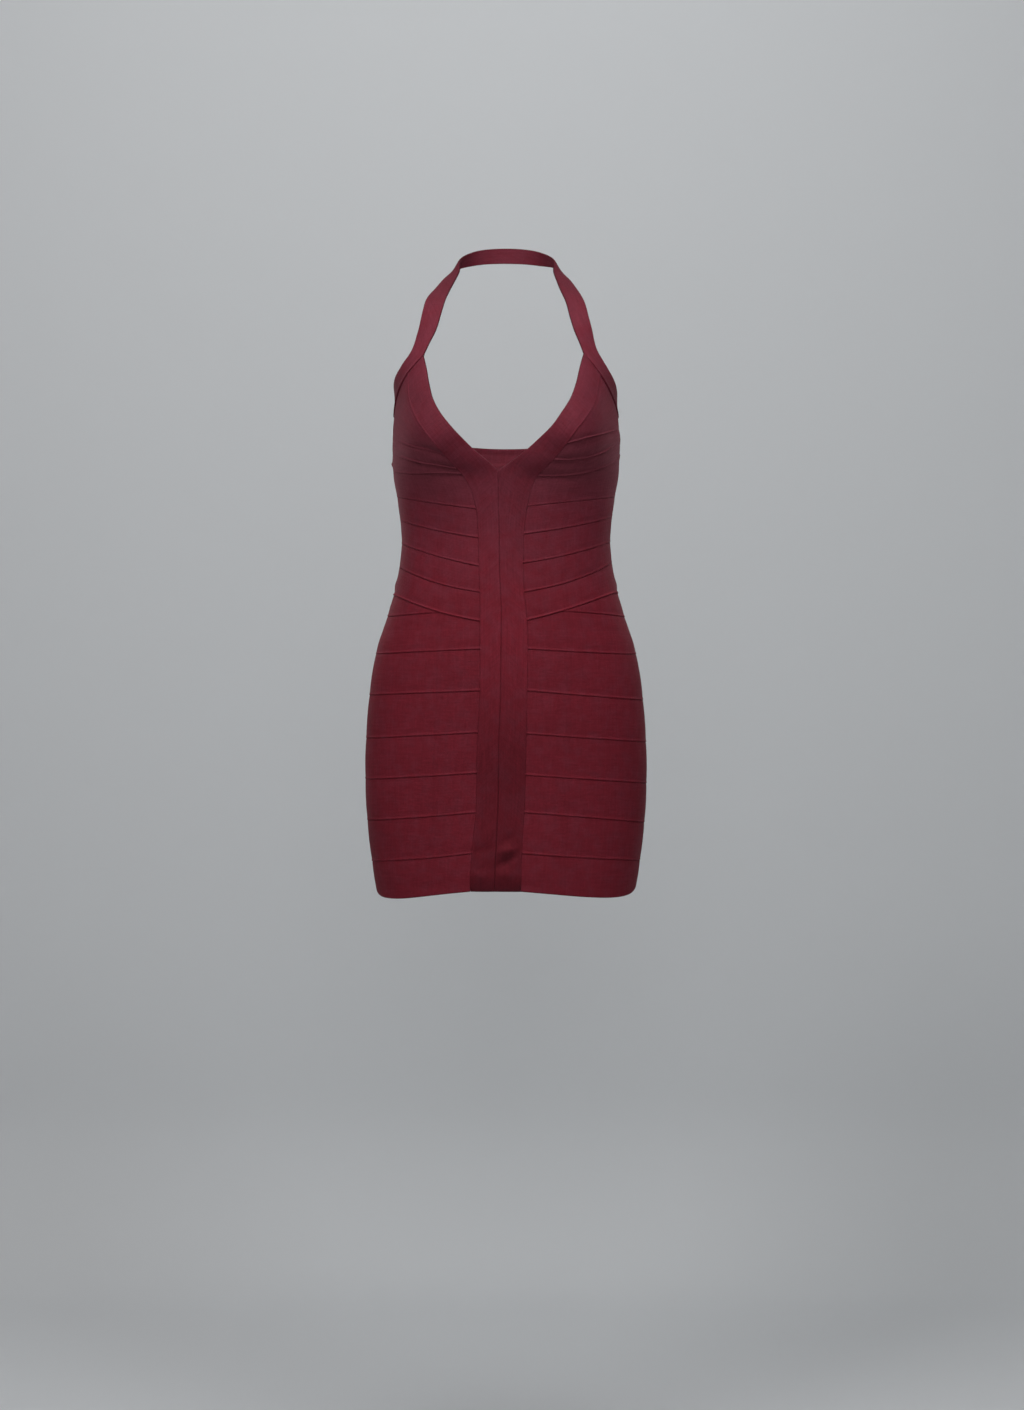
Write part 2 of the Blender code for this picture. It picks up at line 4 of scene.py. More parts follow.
import bpy
import numpy as np
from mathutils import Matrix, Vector


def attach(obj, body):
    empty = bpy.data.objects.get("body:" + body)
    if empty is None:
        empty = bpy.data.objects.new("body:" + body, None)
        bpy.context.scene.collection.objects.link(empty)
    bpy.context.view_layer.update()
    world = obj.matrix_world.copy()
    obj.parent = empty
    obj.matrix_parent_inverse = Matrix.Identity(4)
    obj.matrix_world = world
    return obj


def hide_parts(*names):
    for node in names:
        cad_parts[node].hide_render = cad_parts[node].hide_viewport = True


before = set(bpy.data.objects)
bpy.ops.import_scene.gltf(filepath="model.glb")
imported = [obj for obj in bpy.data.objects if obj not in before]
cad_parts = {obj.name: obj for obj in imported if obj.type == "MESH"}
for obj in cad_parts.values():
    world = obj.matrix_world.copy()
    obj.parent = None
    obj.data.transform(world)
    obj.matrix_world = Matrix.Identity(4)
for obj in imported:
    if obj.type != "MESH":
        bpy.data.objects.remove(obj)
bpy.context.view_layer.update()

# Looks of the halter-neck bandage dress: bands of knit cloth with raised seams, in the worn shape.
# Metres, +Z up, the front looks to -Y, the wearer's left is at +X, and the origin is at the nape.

MM = 0.001

# Sizes shared with the frame
CLOTH = 0.0020              # thickness of the knit
HALTER_WIDTH = 0.024        # of the halter band at the side seam, square across
HALTER_TIP_WIDTH = 0.0195   # and at the cup's tip
HALTER_SLANT = 1.18         # how much deeper the back's top band is at the sides than in its middle
HALTER_TURN = 0.4           # share of the armhole seam in which the halter band's cut turns upright
HALTER_MEET = 0.15          # share of it in which the band widens to meet the back's top band
BODY_AXIS_Y = -0.070
ROUNDNESS = 0.88            # below 1 the body's sections are fuller than ellipses

# Sizes of the cloth as sewn
LAP = 1.2 * MM              # how far a band's rolled edge reaches down over the next band
HAIR = 0.05 * MM            # what still shows between two pieces at a seam
CROWN = 0.45 * MM           # how far a band bulges between its seams
CENTRE_CROWN = 0.6 * CROWN
STRAP_CROWN = 0.9 * MM
FULL_BAND = 9.0 * MM        # a band narrower than this has lower seams
SEWN_RIM = 0.02 * MM        # how far a sewn edge's rim stands out
FOLDED_RIM = 0.7 * MM       # how far a folded edge's does
CURLED_RIM = 0.6 * MM
ALLOWANCE = 0.9 * MM        # thickness of the seam allowance sewn down inside
ALLOWANCE_FULL = 4.0 * MM   # how far in from the edge it keeps that thickness
ALLOWANCE_END = 5.2 * MM    # and where it has run out
RUCHED_LEFT = 0.25          # how much of the groove below a ruched seam is left at the side seam

# The centre bands
HEM_DROP = 0.8 * MM         # how far they hang below the rest of the hem
HEM_TURN = 10.0 * MM        # depth of the stretch that curls under there
HEM_CURL = 5.0 * MM         # how far its edge curls in
NECK_EASING = 1.5 * MM      # the neckline's fold turns into the centre seam's groove this near the V
GROOVE_FULL = -0.360        # the centre seam's groove gets shallower from here
GROOVE_SHALLOW = -0.300     # up to here
GROOVE_LOSS = 0.5           # by this share
LUMP = 0.55 * MM            # how far a side band's seam lifts them where it runs in
LUMP_UP = 1.6 * MM
LUMP_ACROSS = 2.6 * MM

# The halter band beside the cups' tips, where it becomes the strap
TIP_BLEND = 0.012           # length in which the strap takes up the end of the band on the cup
STRAP_FROM = -6.0 * MM      # from here to there the sewn edge turns into the strap's folded one
STRAP_TO = 8.0 * MM
HELD_ROWS = 5.0             # rows on either side of the tip that are smoothed, most at the outer edge
HELD_OUTWARDS = 0.7
STRAP_ROWS = 3.0            # and the strap's first rows, smoothed all across
SMOOTHING_PASSES = 40
SMOOTHING_SHARE = 0.5

# A seam fed by hand wanders: by which share of its rise, how fast along it, and how far from the last one
Wander = namedtuple("Wander", "share turn phase")
WANDERS = (Wander(0.10, 61, 1.7), Wander(0.07, 143, 2.9))

UP = np.array((0.0, 0.0, 1.0))
SMALLEST = 1e-12            # a length to divide by, where one would be nothing
ANGLE_STEP = 1e-4           # steps in which the form's slopes are taken
HEIGHT_STEP = 1e-5

# Fineness of the grids
ROW_STEP = 4.0 * MM
COLUMN_STEP = 4.2 * MM
STRIP_STEP = 3.2 * MM       # along the centre bands and the halter band
CENTRE_STEP = 2.6 * MM      # across the centre bands
HALTER_MIDDLE = 7           # even steps between the halter band's edges
ARMHOLE_STATIONS = 46       # of the halter band along the armhole seam
TIP_STATIONS = 10           # and over the centre band's end
LINE_STATIONS = 121         # along a line whose length is measured
SETTLING_STEPS = 6          # in which a place is brought onto the form
CLOSE_SHARE = 0.8           # the most of a short line that the close steps by its ends may take
EDGE_ROWS = tuple(step * MM for step in (0, 0.35, 0.75, 1.15, 1.6, 2.1, 2.7, 3.5, 5.0))
PLAIN_ROWS = tuple(step * MM for step in (0, 0.4, 0.9, 1.6, 3.0, 5.0))

RIGHT = -1
LEFT = 1
SIDE_NAMES = {RIGHT: "right", LEFT: "left"}
SIDE_SEAM = math.radians(90.0)
HALF_TURN = math.radians(180.0)
WEDGE_START = {RIGHT: 0.254, LEFT: 0.210}       # where the waist seam crosses the hip seam

# The body's form: its half width, and how far its front and its back lie from the axis
Section = namedtuple("Section", "height half_width front back")
SECTIONS = (
    Section(-0.790, 0.1520, 0.0950, 0.0980),
    Section(-0.740, 0.1600, 0.0970, 0.1060),
    Section(-0.690, 0.1658, 0.0980, 0.1160),
    Section(-0.630, 0.1684, 0.0990, 0.1250),
    Section(-0.570, 0.1662, 0.1000, 0.1210),
    Section(-0.510, 0.1595, 0.0990, 0.1060),
    Section(-0.480, 0.1534, 0.0973, 0.0957),
    Section(-0.450, 0.1434, 0.0950, 0.0850),
    Section(-0.400, 0.1300, 0.0890, 0.0680),
    Section(-0.355, 0.1247, 0.0850, 0.0640),
    Section(-0.310, 0.1290, 0.0860, 0.0710),
    Section(-0.275, 0.1346, 0.0888, 0.0780),
    Section(-0.235, 0.1356, 0.0920, 0.0850),
    Section(-0.190, 0.1330, 0.0830, 0.0890),
    Section(-0.150, 0.1326, 0.0730, 0.0900),
    Section(-0.100, 0.1300, 0.0640, 0.0900),
)

# The cups: where the middle of one is, how far it stands out, and how far it spreads each way
CUP_OUT = 0.090
CUP_HEIGHT = -0.230
CUP_DEPTH = 0.036
CUP_SPREAD = 0.047
CUP_SPREAD_IN = 0.050
CUP_RISE = 0.069
CUP_FALL = 0.048
CUP_FULLNESS = 1.25         # above 1 the cup is flatter on top than a bell curve
CUP_SIDE_FADE = 8           # how late the cups fade out towards the side seams

# The cloth along the neckline, which runs taut from cup to cup
BRIDGE_OUT = 0.030
BRIDGE_HEIGHT = -0.262
BRIDGE_DEPTH = 0.0045
BRIDGE_SPREAD = 0.018
BRIDGE_RISE = 0.016

# x of the neckline, of the centre bands' outer seams and of the seam between the two
Edge = namedtuple("Edge", "height right left")
NECKLINE = (
    Edge(-0.278, -0.0094, -0.0094),
    Edge(-0.267, -0.0217, 0.0070),
    Edge(-0.255, -0.0367, 0.0232),
    Edge(-0.242, -0.0504, 0.0380),
    Edge(-0.228, -0.0636, 0.0527),
    Edge(-0.212, -0.0762, 0.0642),
    Edge(-0.195, -0.0850, 0.0748),
    Edge(-0.175, -0.0903, 0.0823),
    Edge(-0.155, -0.0940, 0.0872),
    Edge(-0.137, -0.0986, 0.0922),
)
V_HEIGHT = NECKLINE[0].height
TIP_HEIGHT = {RIGHT: -0.140, LEFT: -0.137}
OUTER_SEAM = (
    Edge(-0.790, -0.0420, 0.0177),
    Edge(-0.767, -0.0416, 0.0177),
    Edge(-0.722, -0.0393, 0.0184),
    Edge(-0.675, -0.0346, 0.0214),
    Edge(-0.606, -0.0334, 0.0234),
    Edge(-0.534, -0.0299, 0.0246),
    Edge(-0.452, -0.0300, 0.0246),
    Edge(-0.418, -0.0301, 0.0212),
    Edge(-0.385, -0.0312, 0.0200),
    Edge(-0.350, -0.0322, 0.0210),
    Edge(-0.320, -0.0350, 0.0250),
    Edge(-0.300, -0.0409, 0.0293),
    Edge(-0.284, -0.0501, 0.0370),
    Edge(-0.267, -0.0663, 0.0540),
    Edge(-0.250, -0.0820, 0.0700),
    Edge(-0.235, -0.0933, 0.0808),
    Edge(-0.220, -0.1024, 0.0919),
    Edge(-0.200, -0.1110, 0.1034),
    Edge(-0.180, -0.1148, 0.1085),
    Edge(-0.160, -0.1162, 0.1119),
)
CentreSeam = namedtuple("CentreSeam", "height out")
CENTRE_SEAM = (
    CentreSeam(-0.790, -0.0138),
    CentreSeam(-0.767, -0.0130),
    CentreSeam(-0.731, -0.0119),
    CentreSeam(-0.661, -0.0088),
    CentreSeam(-0.592, -0.0080),
    CentreSeam(-0.545, -0.0062),
    CentreSeam(-0.487, -0.0056),
    CentreSeam(-0.440, -0.0052),
    CentreSeam(-0.405, -0.0068),
    CentreSeam(-0.335, -0.0080),
    CentreSeam(-0.278, -0.0094),
)
# Heights on a centre band's outer seam, and on its inner edge square across from them
Across = namedtuple("Across", "outer inner")
ACROSS = (
    Across(-0.790, -0.790),
    Across(-0.418, -0.418),
    Across(-0.385, -0.383),
    Across(-0.350, -0.3425),
    Across(-0.320, -0.3065),
    Across(-0.296, -0.278),
    Across(-0.284, -0.264),
    Across(-0.267, -0.247),
    Across(-0.250, -0.232),
    Across(-0.235, -0.219),
    Across(-0.220, -0.206),
    Across(-0.200, -0.191),
    Across(-0.180, -0.1755),
)

# Heights of each side's seams at the centre band, one third out, two thirds out and at the side seam
Seam = namedtuple("Seam", "centre inner outer side")
FRONT_SEAMS = {
    RIGHT: {
        "armhole": Seam(-0.1600, -0.1745, -0.1893, -0.2070),
        "cup": Seam(-0.2615, -0.2475, -0.2355, -0.2300),
        "bust_1": Seam(-0.2750, -0.2665, -0.2550, -0.2500),
        "bust_2": Seam(-0.2813, -0.2795, -0.2755, -0.2650),
        "bodice_1": Seam(-0.3210, -0.3130, -0.3055, -0.3000),
        "bodice_2": Seam(-0.3550, -0.3450, -0.3350, -0.3265),
        "bodice_3": Seam(-0.3880, -0.3750, -0.3630, -0.3565),
        "bodice_4": Seam(-0.4185, -0.4060, -0.3920, -0.3855),
        "waist": Seam(-0.4525, -0.4380, -0.4240, -0.4190),
        "hip": Seam(-0.4410, -0.4425, -0.4445, -0.4435),
        "skirt_1": Seam(-0.4850, -0.4875, -0.4890, -0.4890),
        "skirt_2": Seam(-0.5335, -0.5360, -0.5375, -0.5380),
        "skirt_3": Seam(-0.5820, -0.5860, -0.5885, -0.5890),
        "skirt_4": Seam(-0.6290, -0.6340, -0.6370, -0.6380),
        "skirt_5": Seam(-0.6750, -0.6815, -0.6855, -0.6875),
        "skirt_6": Seam(-0.7225, -0.7300, -0.7340, -0.7370),
        "hem": Seam(-0.7680, -0.7755, -0.7793, -0.7710),
    },
    LEFT: {
        "armhole": Seam(-0.1620, -0.1785, -0.1940, -0.2078),
        "cup": Seam(-0.2475, -0.2350, -0.2245, -0.2190),
        "bust_1": Seam(-0.2635, -0.2605, -0.2435, -0.2385),
        "bust_2": Seam(-0.2830, -0.2795, -0.2645, -0.2510),
        "bodice_1": Seam(-0.3180, -0.3110, -0.3050, -0.2990),
        "bodice_2": Seam(-0.3505, -0.3410, -0.3310, -0.3235),
        "bodice_3": Seam(-0.3845, -0.3730, -0.3610, -0.3545),
        "bodice_4": Seam(-0.4185, -0.4040, -0.3880, -0.3785),
        "waist": Seam(-0.4515, -0.4340, -0.4200, -0.4165),
        "hip": Seam(-0.4400, -0.4415, -0.4440, -0.4445),
        "skirt_1": Seam(-0.4850, -0.4885, -0.4895, -0.4885),
        "skirt_2": Seam(-0.5335, -0.5395, -0.5430, -0.5435),
        "skirt_3": Seam(-0.5835, -0.5890, -0.5925, -0.5940),
        "skirt_4": Seam(-0.6315, -0.6370, -0.6410, -0.6435),
        "skirt_5": Seam(-0.6750, -0.6815, -0.6870, -0.6900),
        "skirt_6": Seam(-0.7225, -0.7285, -0.7325, -0.7355),
        "hem": Seam(-0.7680, -0.7750, -0.7770, -0.7660),
    },
}

# How a piece's edge meets its neighbour, as height over the cloth at distances in from the edge
EdgePoint = namedtuple("EdgePoint", "inward rise")


def edge_of(*pairs):
    """An edge's profile from pairs of millimetres."""
    return tuple(EdgePoint(inward * MM, rise * MM) for inward, rise in pairs)


# a band's rolled lower edge, and one of the ruched seams
OVER = edge_of(
    (0, 0.22), (0.35, 0.56), (0.75, 0.74), (1.15, 0.74), (1.6, 0.56), (2.1, 0.28), (2.7, 0.08),
    (3.5, -0.04), (5.0, -0.06), (8.0, 0),
)
RUCHED = edge_of(
    (0, 0.35), (0.35, 0.95), (0.75, 1.22), (1.15, 1.15), (1.6, 0.76), (2.1, 0.36), (2.7, 0.08),
    (3.5, -0.08), (5.0, -0.10), (8.0, 0),
)
# what lies under another piece's edge
UNDER = edge_of((0, -0.38), (0.4, -0.24), (0.9, -0.10), (1.6, -0.03), (3.0, 0))
UNDER_RUCHED = edge_of((0, -0.44), (0.4, -0.30), (0.9, -0.14), (1.6, -0.05), (3.0, 0))
CUP_END = edge_of((0, -0.30), (0.4, -0.22), (0.9, -0.14), (1.6, -0.06), (3.0, 0))
UNDER_STRAP = edge_of((0, -0.70), (0.4, -0.52), (0.9, -0.28), (1.6, -0.10), (3.0, 0))
# the halter band's edge on the cups, a flat stitched edge, a seam's groove and a folded edge
STITCHED_ON = edge_of(
    (0, 0.55), (0.35, 1.10), (0.75, 1.35), (1.6, 1.15), (2.7, 0.60), (5.0, 0.12), (8.0, 0),
)
TOP_STITCHED = edge_of((0, 0.10), (0.35, 0.36), (0.75, 0.44), (1.6, 0.34), (2.7, 0.08), (5.0, 0))
GROOVE = edge_of((0, -0.42), (0.4, -0.30), (0.9, -0.02), (1.6, 0.10), (3.0, 0.04), (5.0, 0))
FOLDED = edge_of((0, -0.45), (0.35, -0.10), (0.75, 0.10), (1.6, 0.20), (5.0, 0.12), (9.0, 0))

# How strongly the centre bands' outer edges stand out
Standing = namedtuple("Standing", "height right left")
OUTER_EDGE = (
    Standing(-0.790, 0.35, 0.35),
    Standing(-0.330, 0.35, 0.20),
    Standing(-0.298, 0.90, 0.20),
    Standing(-0.278, 0.60, 0.70),
    Standing(-0.262, 0.90, 1.00),
    Standing(-0.236, 1.90, 1.60),
    Standing(-0.175, 1.90, 1.30),
    Standing(-0.150, 0.90, 0.70),
)
RUCHED_FADE = {RIGHT: (0.30, 0.70), LEFT: (0.38, 0.72)}     # over which shares the ruched seams fade
# How strongly these seams stand out at the centre band, where a side has its own amount. The lump that
# a seam makes under that band goes by the table of the pieces all the same.
SEAM_AMOUNT = {
    RIGHT: {"cup": 0.55, "bust_band_1": 1.35, "bust_band_2": 0.85},
    LEFT: {"cup": 0.95, "bust_band_1": 1.40, "bust_band_2": 0.90, "bodice_band_1": 0.60},
}

# A piece's seams above and below, how its edges lie there, and how strongly its lower one stands out
# at the middle of the dress and at the side seam
Piece = namedtuple("Piece", "name top bottom edge_top edge_bottom amount amount_side")
FRONT_PIECES = (
    Piece("cup", "armhole", "cup", UNDER_STRAP, RUCHED, 1.30, 0.05),
    Piece("bust_band_1", "cup", "bust_1", UNDER_RUCHED, RUCHED, 1.55, 0.05),
    Piece("bust_band_2", "bust_1", "bust_2", UNDER_RUCHED, RUCHED, 1.35, 0.45),
    Piece("bodice_band_1", "bust_2", "bodice_1", UNDER_RUCHED, OVER, 0.95, 0.35),
    Piece("bodice_band_2", "bodice_1", "bodice_2", UNDER, OVER, 1.00, 0.40),
    Piece("bodice_band_3", "bodice_2", "bodice_3", UNDER, OVER, 0.95, 0.45),
    Piece("bodice_band_4", "bodice_3", "bodice_4", UNDER, OVER, 1.00, 0.45),
    Piece("bodice_band_5", "bodice_4", "waist", UNDER, OVER, 1.45, 1.25),
    Piece("hip_wedge", "waist", "skirt_top", UNDER, OVER, 0.75, 0.65),
    Piece("skirt_band_1", "skirt_top", "skirt_1", UNDER, OVER, 0.90, 0.60),
    Piece("skirt_band_2", "skirt_1", "skirt_2", UNDER, OVER, 0.95, 0.60),
    Piece("skirt_band_3", "skirt_2", "skirt_3", UNDER, OVER, 0.85, 0.55),
    Piece("skirt_band_4", "skirt_3", "skirt_4", UNDER, OVER, 0.90, 0.60),
    Piece("skirt_band_5", "skirt_4", "skirt_5", UNDER, OVER, 0.95, 0.60),
    Piece("skirt_band_6", "skirt_5", "skirt_6", UNDER, OVER, 0.90, 0.60),
    Piece("hem_band", "skirt_6", "hem", UNDER, FOLDED, 1.00, 1.00),
)
BACK_PIECES = (
    Piece("back_top_band", "back_edge", "armhole", FOLDED, TOP_STITCHED, 1.30, 1.30),
    Piece("back_bodice_band_1", "armhole", "back_1", UNDER, OVER, 0.80, 0.35),
    Piece("back_bodice_band_2", "back_1", "back_2", UNDER, OVER, 0.90, 0.40),
    Piece("back_bodice_band_3", "back_2", "back_3", UNDER, OVER, 0.90, 0.45),
    Piece("back_bodice_band_4", "back_3", "waist", UNDER, OVER, 1.30, 1.25),
    Piece("back_hip_band", "waist", "hip", UNDER, OVER, 0.75, 0.65),
    Piece("back_skirt_band_1", "hip", "skirt_1", UNDER, OVER, 0.90, 0.60),
    Piece("back_skirt_band_2", "skirt_1", "skirt_2", UNDER, OVER, 0.90, 0.60),
    Piece("back_skirt_band_3", "skirt_2", "skirt_3", UNDER, OVER, 0.85, 0.55),
    Piece("back_skirt_band_4", "skirt_3", "skirt_4", UNDER, OVER, 0.90, 0.60),
    Piece("back_skirt_band_5", "skirt_4", "skirt_5", UNDER, OVER, 0.90, 0.60),
    Piece("back_skirt_band_6", "skirt_5", "skirt_6", UNDER, OVER, 0.90, 0.60),
    Piece("back_hem_band", "skirt_6", "hem", UNDER, FOLDED, 1.00, 1.00),
)
# Where a band's edge laps over the next band
LAPPED_SEAMS = (
    "cup", "bust_1", "bust_2", "bodice_1", "bodice_2", "bodice_3", "bodice_4", "waist", "hip", "skirt_top",
    "skirt_1", "skirt_2", "skirt_3", "skirt_4", "skirt_5", "skirt_6", "back_1", "back_2", "back_3",
)

# The front seam that a back seam meets at the sides, and how far it sags between them
BackSeam = namedtuple("BackSeam", "meets sag")
BACK_SEAMS = {
    "armhole": BackSeam("armhole", 0.053),
    "back_1": BackSeam("bust_1", 0.050),
    "back_2": BackSeam("bodice_1", 0.041),
    "back_3": BackSeam("bodice_3", 0.029),
    "waist": BackSeam("waist", 0.012),
    "hip": BackSeam("hip", 0.012),
    "skirt_1": BackSeam("skirt_1", 0.004),
    "skirt_2": BackSeam("skirt_2", 0.001),
    "skirt_3": BackSeam("skirt_3", 0.0),
    "skirt_4": BackSeam("skirt_4", 0.0),
    "skirt_5": BackSeam("skirt_5", 0.0),
    "skirt_6": BackSeam("skirt_6", 0.001),
    "hem": BackSeam("hem", 0.009),
}

# The strap's middle line from above the cup's tip to the nape, how many degrees its face is turned
# outwards from straight ahead and then upwards, and its width
Strap = namedtuple("Strap", "out depth height turned_out up width")
STRAPS = {
    RIGHT: (
        Strap(0.1002, -0.0475, -0.1234, 36.0, 6.0, 0.0205),
        Strap(0.0936, -0.0440, -0.1070, 24.0, 14.0, 0.0225),
        Strap(0.0884, -0.0350, -0.0855, 16.0, 28.0, 0.0235),
        Strap(0.0841, -0.0190, -0.0675, 8.0, 46.0, 0.0230),
        Strap(0.0762, 0.0020, -0.0510, 4.0, 52.0, 0.0180),
        Strap(0.0690, 0.0180, -0.0370, 20.0, 52.0, 0.0160),
        Strap(0.0636, 0.0300, -0.0270, 46.0, 48.0, 0.0150),
        Strap(0.0595, 0.0430, -0.0155, 92.0, 27.0, 0.0140),
        Strap(0.0405, 0.0630, -0.0045, 132.0, 8.0, 0.0160),
    ),
    LEFT: (
        Strap(0.0980, -0.0475, -0.1268, 36.0, 6.0, 0.0205),
        Strap(0.0930, -0.0450, -0.1110, 24.0, 14.0, 0.0225),
        Strap(0.0880, -0.0370, -0.0925, 16.0, 28.0, 0.0230),
        Strap(0.0830, -0.0220, -0.0710, 8.0, 46.0, 0.0222),
        Strap(0.0736, 0.0010, -0.0485, 4.0, 52.0, 0.0190),
        Strap(0.0692, 0.0150, -0.0375, 18.0, 52.0, 0.0172),
        Strap(0.0652, 0.0290, -0.0280, 44.0, 50.0, 0.0158),
        Strap(0.0608, 0.0430, -0.0145, 92.0, 27.0, 0.0130),
        Strap(0.0405, 0.0630, -0.0045, 132.0, 8.0, 0.0160),
    ),
}
NAPE = Strap(0.0, CLOTH - BODY_AXIS_Y, 0.0, 180.0, 0.0, 0.0180)

# Creases: soft ridges and troughs. The turn is from level, rising towards +X, in degrees,
# the length and width are half measures, and a negative rise is a trough.
Crease = namedtuple("Crease", "x height turn length width rise")
FRONT_CREASES = (
    # puckers at the foot of the centre bands
    Crease(0.0010, -0.7315, 33.0, 0.0110, 0.0036, -0.0054),
    Crease(0.0005, -0.7205, 12.0, 0.0095, 0.0042, 0.0040),
    Crease(0.0035, -0.7060, 25.0, 0.0090, 0.0032, -0.0012),
    Crease(0.0000, -0.7480, 5.0, 0.0100, 0.0050, 0.0022),
    Crease(-0.0325, -0.7490, -12.0, 0.0095, 0.0050, 0.0018),
    Crease(-0.0190, -0.7020, 75.0, 0.0130, 0.0040, 0.0012),
    Crease(-0.0280, -0.7200, 15.0, 0.0130, 0.0045, -0.0014),
    Crease(-0.0260, -0.7610, 2.0, 0.0170, 0.0035, -0.0012),
    Crease(0.0050, -0.7615, -4.0, 0.0130, 0.0035, -0.0014),
    # soft folds under the bust
    Crease(-0.0506, -0.2671, -15.0, 0.0180, 0.0110, 0.0028),
    Crease(0.0453, -0.2694, 15.0, 0.0190, 0.0110, 0.0040),
    # the cups' outer part dips beside the centre band
    Crease(-0.0985, -0.2250, -56.0, 0.0220, 0.0080, 0.0018),
    Crease(-0.1135, -0.1880, -81.0, 0.0200, 0.0070, 0.0010),
    Crease(0.0960, -0.2110, 57.0, 0.0240, 0.0070, 0.0014),
    # the halter band stands off the body in front of the arms, and the cup does below it
    Crease(-0.1345, -0.1620, 80.0, 0.0160, 0.0080, 0.0030),
    Crease(0.1345, -0.1570, -80.0, 0.0160, 0.0085, 0.0036),
    Crease(0.1350, -0.2330, 90.0, 0.0110, 0.0060, 0.0012),
    # troughs between the ruched seams
    Crease(-0.0860, -0.2570, -21.0, 0.0170, 0.0036, -0.0030),
    Crease(-0.0850, -0.2640, -8.0, 0.0160, 0.0045, -0.0010),
    Crease(-0.0765, -0.2745, -5.0, 0.0260, 0.0045, -0.0026),
    Crease(-0.0700, -0.2850, 1.0, 0.0260, 0.0055, -0.0018),
    Crease(0.0930, -0.2465, 20.0, 0.0180, 0.0045, -0.0022),
    Crease(0.0700, -0.2510, 60.0, 0.0100, 0.0050, -0.0014),
    Crease(0.0740, -0.2685, 2.0, 0.0240, 0.0045, -0.0020),
    Crease(0.0640, -0.2870, 0.0, 0.0340, 0.0055, -0.0016),
    # faint drag lines at the waist, the hips and the hem
    Crease(-0.0900, -0.4060, -24.0, 0.0300, 0.0060, -0.0007),
    Crease(0.0950, -0.4000, 22.0, 0.0320, 0.0060, -0.0007),
    Crease(-0.1150, -0.4620, 6.0, 0.0340, 0.0070, -0.0006),
    Crease(0.1180, -0.4640, -6.0, 0.0320, 0.0070, -0.0006),
    Crease(0.0350, -0.7620, -8.0, 0.0240, 0.0060, -0.0008),
    Crease(-0.0900, -0.7640, 4.0, 0.0300, 0.0070, -0.0006),
)
BACK_CREASES = (
    # level folds in the small of the back, and drag lines over the seat
    Crease(0.0100, -0.3720, 3.0, 0.0620, 0.0060, -0.0016),
    Crease(-0.0240, -0.3980, -4.0, 0.0540, 0.0065, -0.0015),
    Crease(0.0380, -0.4210, 5.0, 0.0460, 0.0060, -0.0012),
    Crease(-0.0600, -0.3460, -12.0, 0.0360, 0.0060, -0.0009),
    Crease(0.0700, -0.3400, 14.0, 0.0340, 0.0060, -0.0009),
    Crease(-0.0800, -0.4520, 22.0, 0.0380, 0.0070, -0.0010),
    Crease(0.0860, -0.4560, -20.0, 0.0360, 0.0070, -0.0010),
    Crease(0.0050, -0.7150, 2.0, 0.0600, 0.0080, -0.0012),
    Crease(-0.0500, -0.7500, -6.0, 0.0360, 0.0065, -0.0008),
    Crease(0.0620, -0.7420, 7.0, 0.0340, 0.0065, -0.0008),
)

# Where a seam's end stands out of the side outline, or a dip lies below it
SeamEnd = namedtuple("SeamEnd", "x height rise size")
SEAM_ENDS = (
    SeamEnd(-0.1350, -0.2625, 0.0020, 0.0026),
    SeamEnd(0.1350, -0.2530, 0.0011, 0.0026),
    SeamEnd(0.1335, -0.4060, 0.0014, 0.0055),
    SeamEnd(0.1345, -0.4240, -0.0016, 0.0060),
    SeamEnd(-0.1335, -0.4070, 0.0014, 0.0055),
    SeamEnd(-0.1345, -0.4250, -0.0016, 0.0060),
)

# The cloth dips a little between the thighs
CLEFT_DEPTH = 0.0015
CLEFT_WIDTH = 0.030
CLEFT_X = -0.010
CLEFT_TOP = -0.560
CLEFT_FULL = -0.690

# Finishes
KNIT = (0.175, 0.0147, 0.0256)
# a greyer hue: in random patches the yarn's own, and from the waist up painted sheen of the overhead light
KNIT_GREY_PATCHES_AND_SHEEN = (0.172, 0.0265, 0.0426)
PAINTED_SHEEN_FROM = -0.440        # painted sheen: from here up the greyer hue stands in for the overhead light's sheen
PAINTED_SHEEN_FULL = -0.300
SHEEN_GREY_BELOW = 0.12           # how much of the greyer hue, as painted sheen, there is below
SHEEN_GREY_ABOVE = 0.90           # and above
GREY_SPREAD = 0.26          # and how much that varies from place to place
BLOTCH_RANGE = (0.35, 0.65)
# painted shade colour: a greyer hue standing in for the greyer light in the bust's shade
KNIT_GREY_PAINTED_IN_SHADE = (0.172, 0.0330, 0.0490)
BUST_SHADE_SPAN = (-0.320, -0.276, -0.252, -0.226)      # the side panels get it beside the ruched seams, where the bust's shade falls
SEAM_SHADE = 0.28           # painted shade: how much darker the cloth is painted down in a seam
SEAM_PAINTED_HIGHLIGHT = 0.10           # and painted highlight: how much lighter it is painted on a high ridge
SHADED_SEAM = (-0.04 * MM, -0.35 * MM)
LIT_RIDGE = (0.35 * MM, 0.95 * MM)
RIM_PAINTED_SHADE = 0.75             # painted shade along a piece's rim, as on a rolled edge in shade
COURSE_PITCH = 1.5 * MM
WALE_PITCH = 1.15 * MM
BUMP_STRENGTH = 0.6
BUMP_DEPTH = 0.14 * MM
SHADER = {
    "Roughness": 0.70,
    "Specular IOR Level": 0.08,
    "Sheen Weight": 0.04,
    "Sheen Roughness": 0.50,
    "Sheen Tint": (1.0, 0.50, 0.60, 1.0),
}

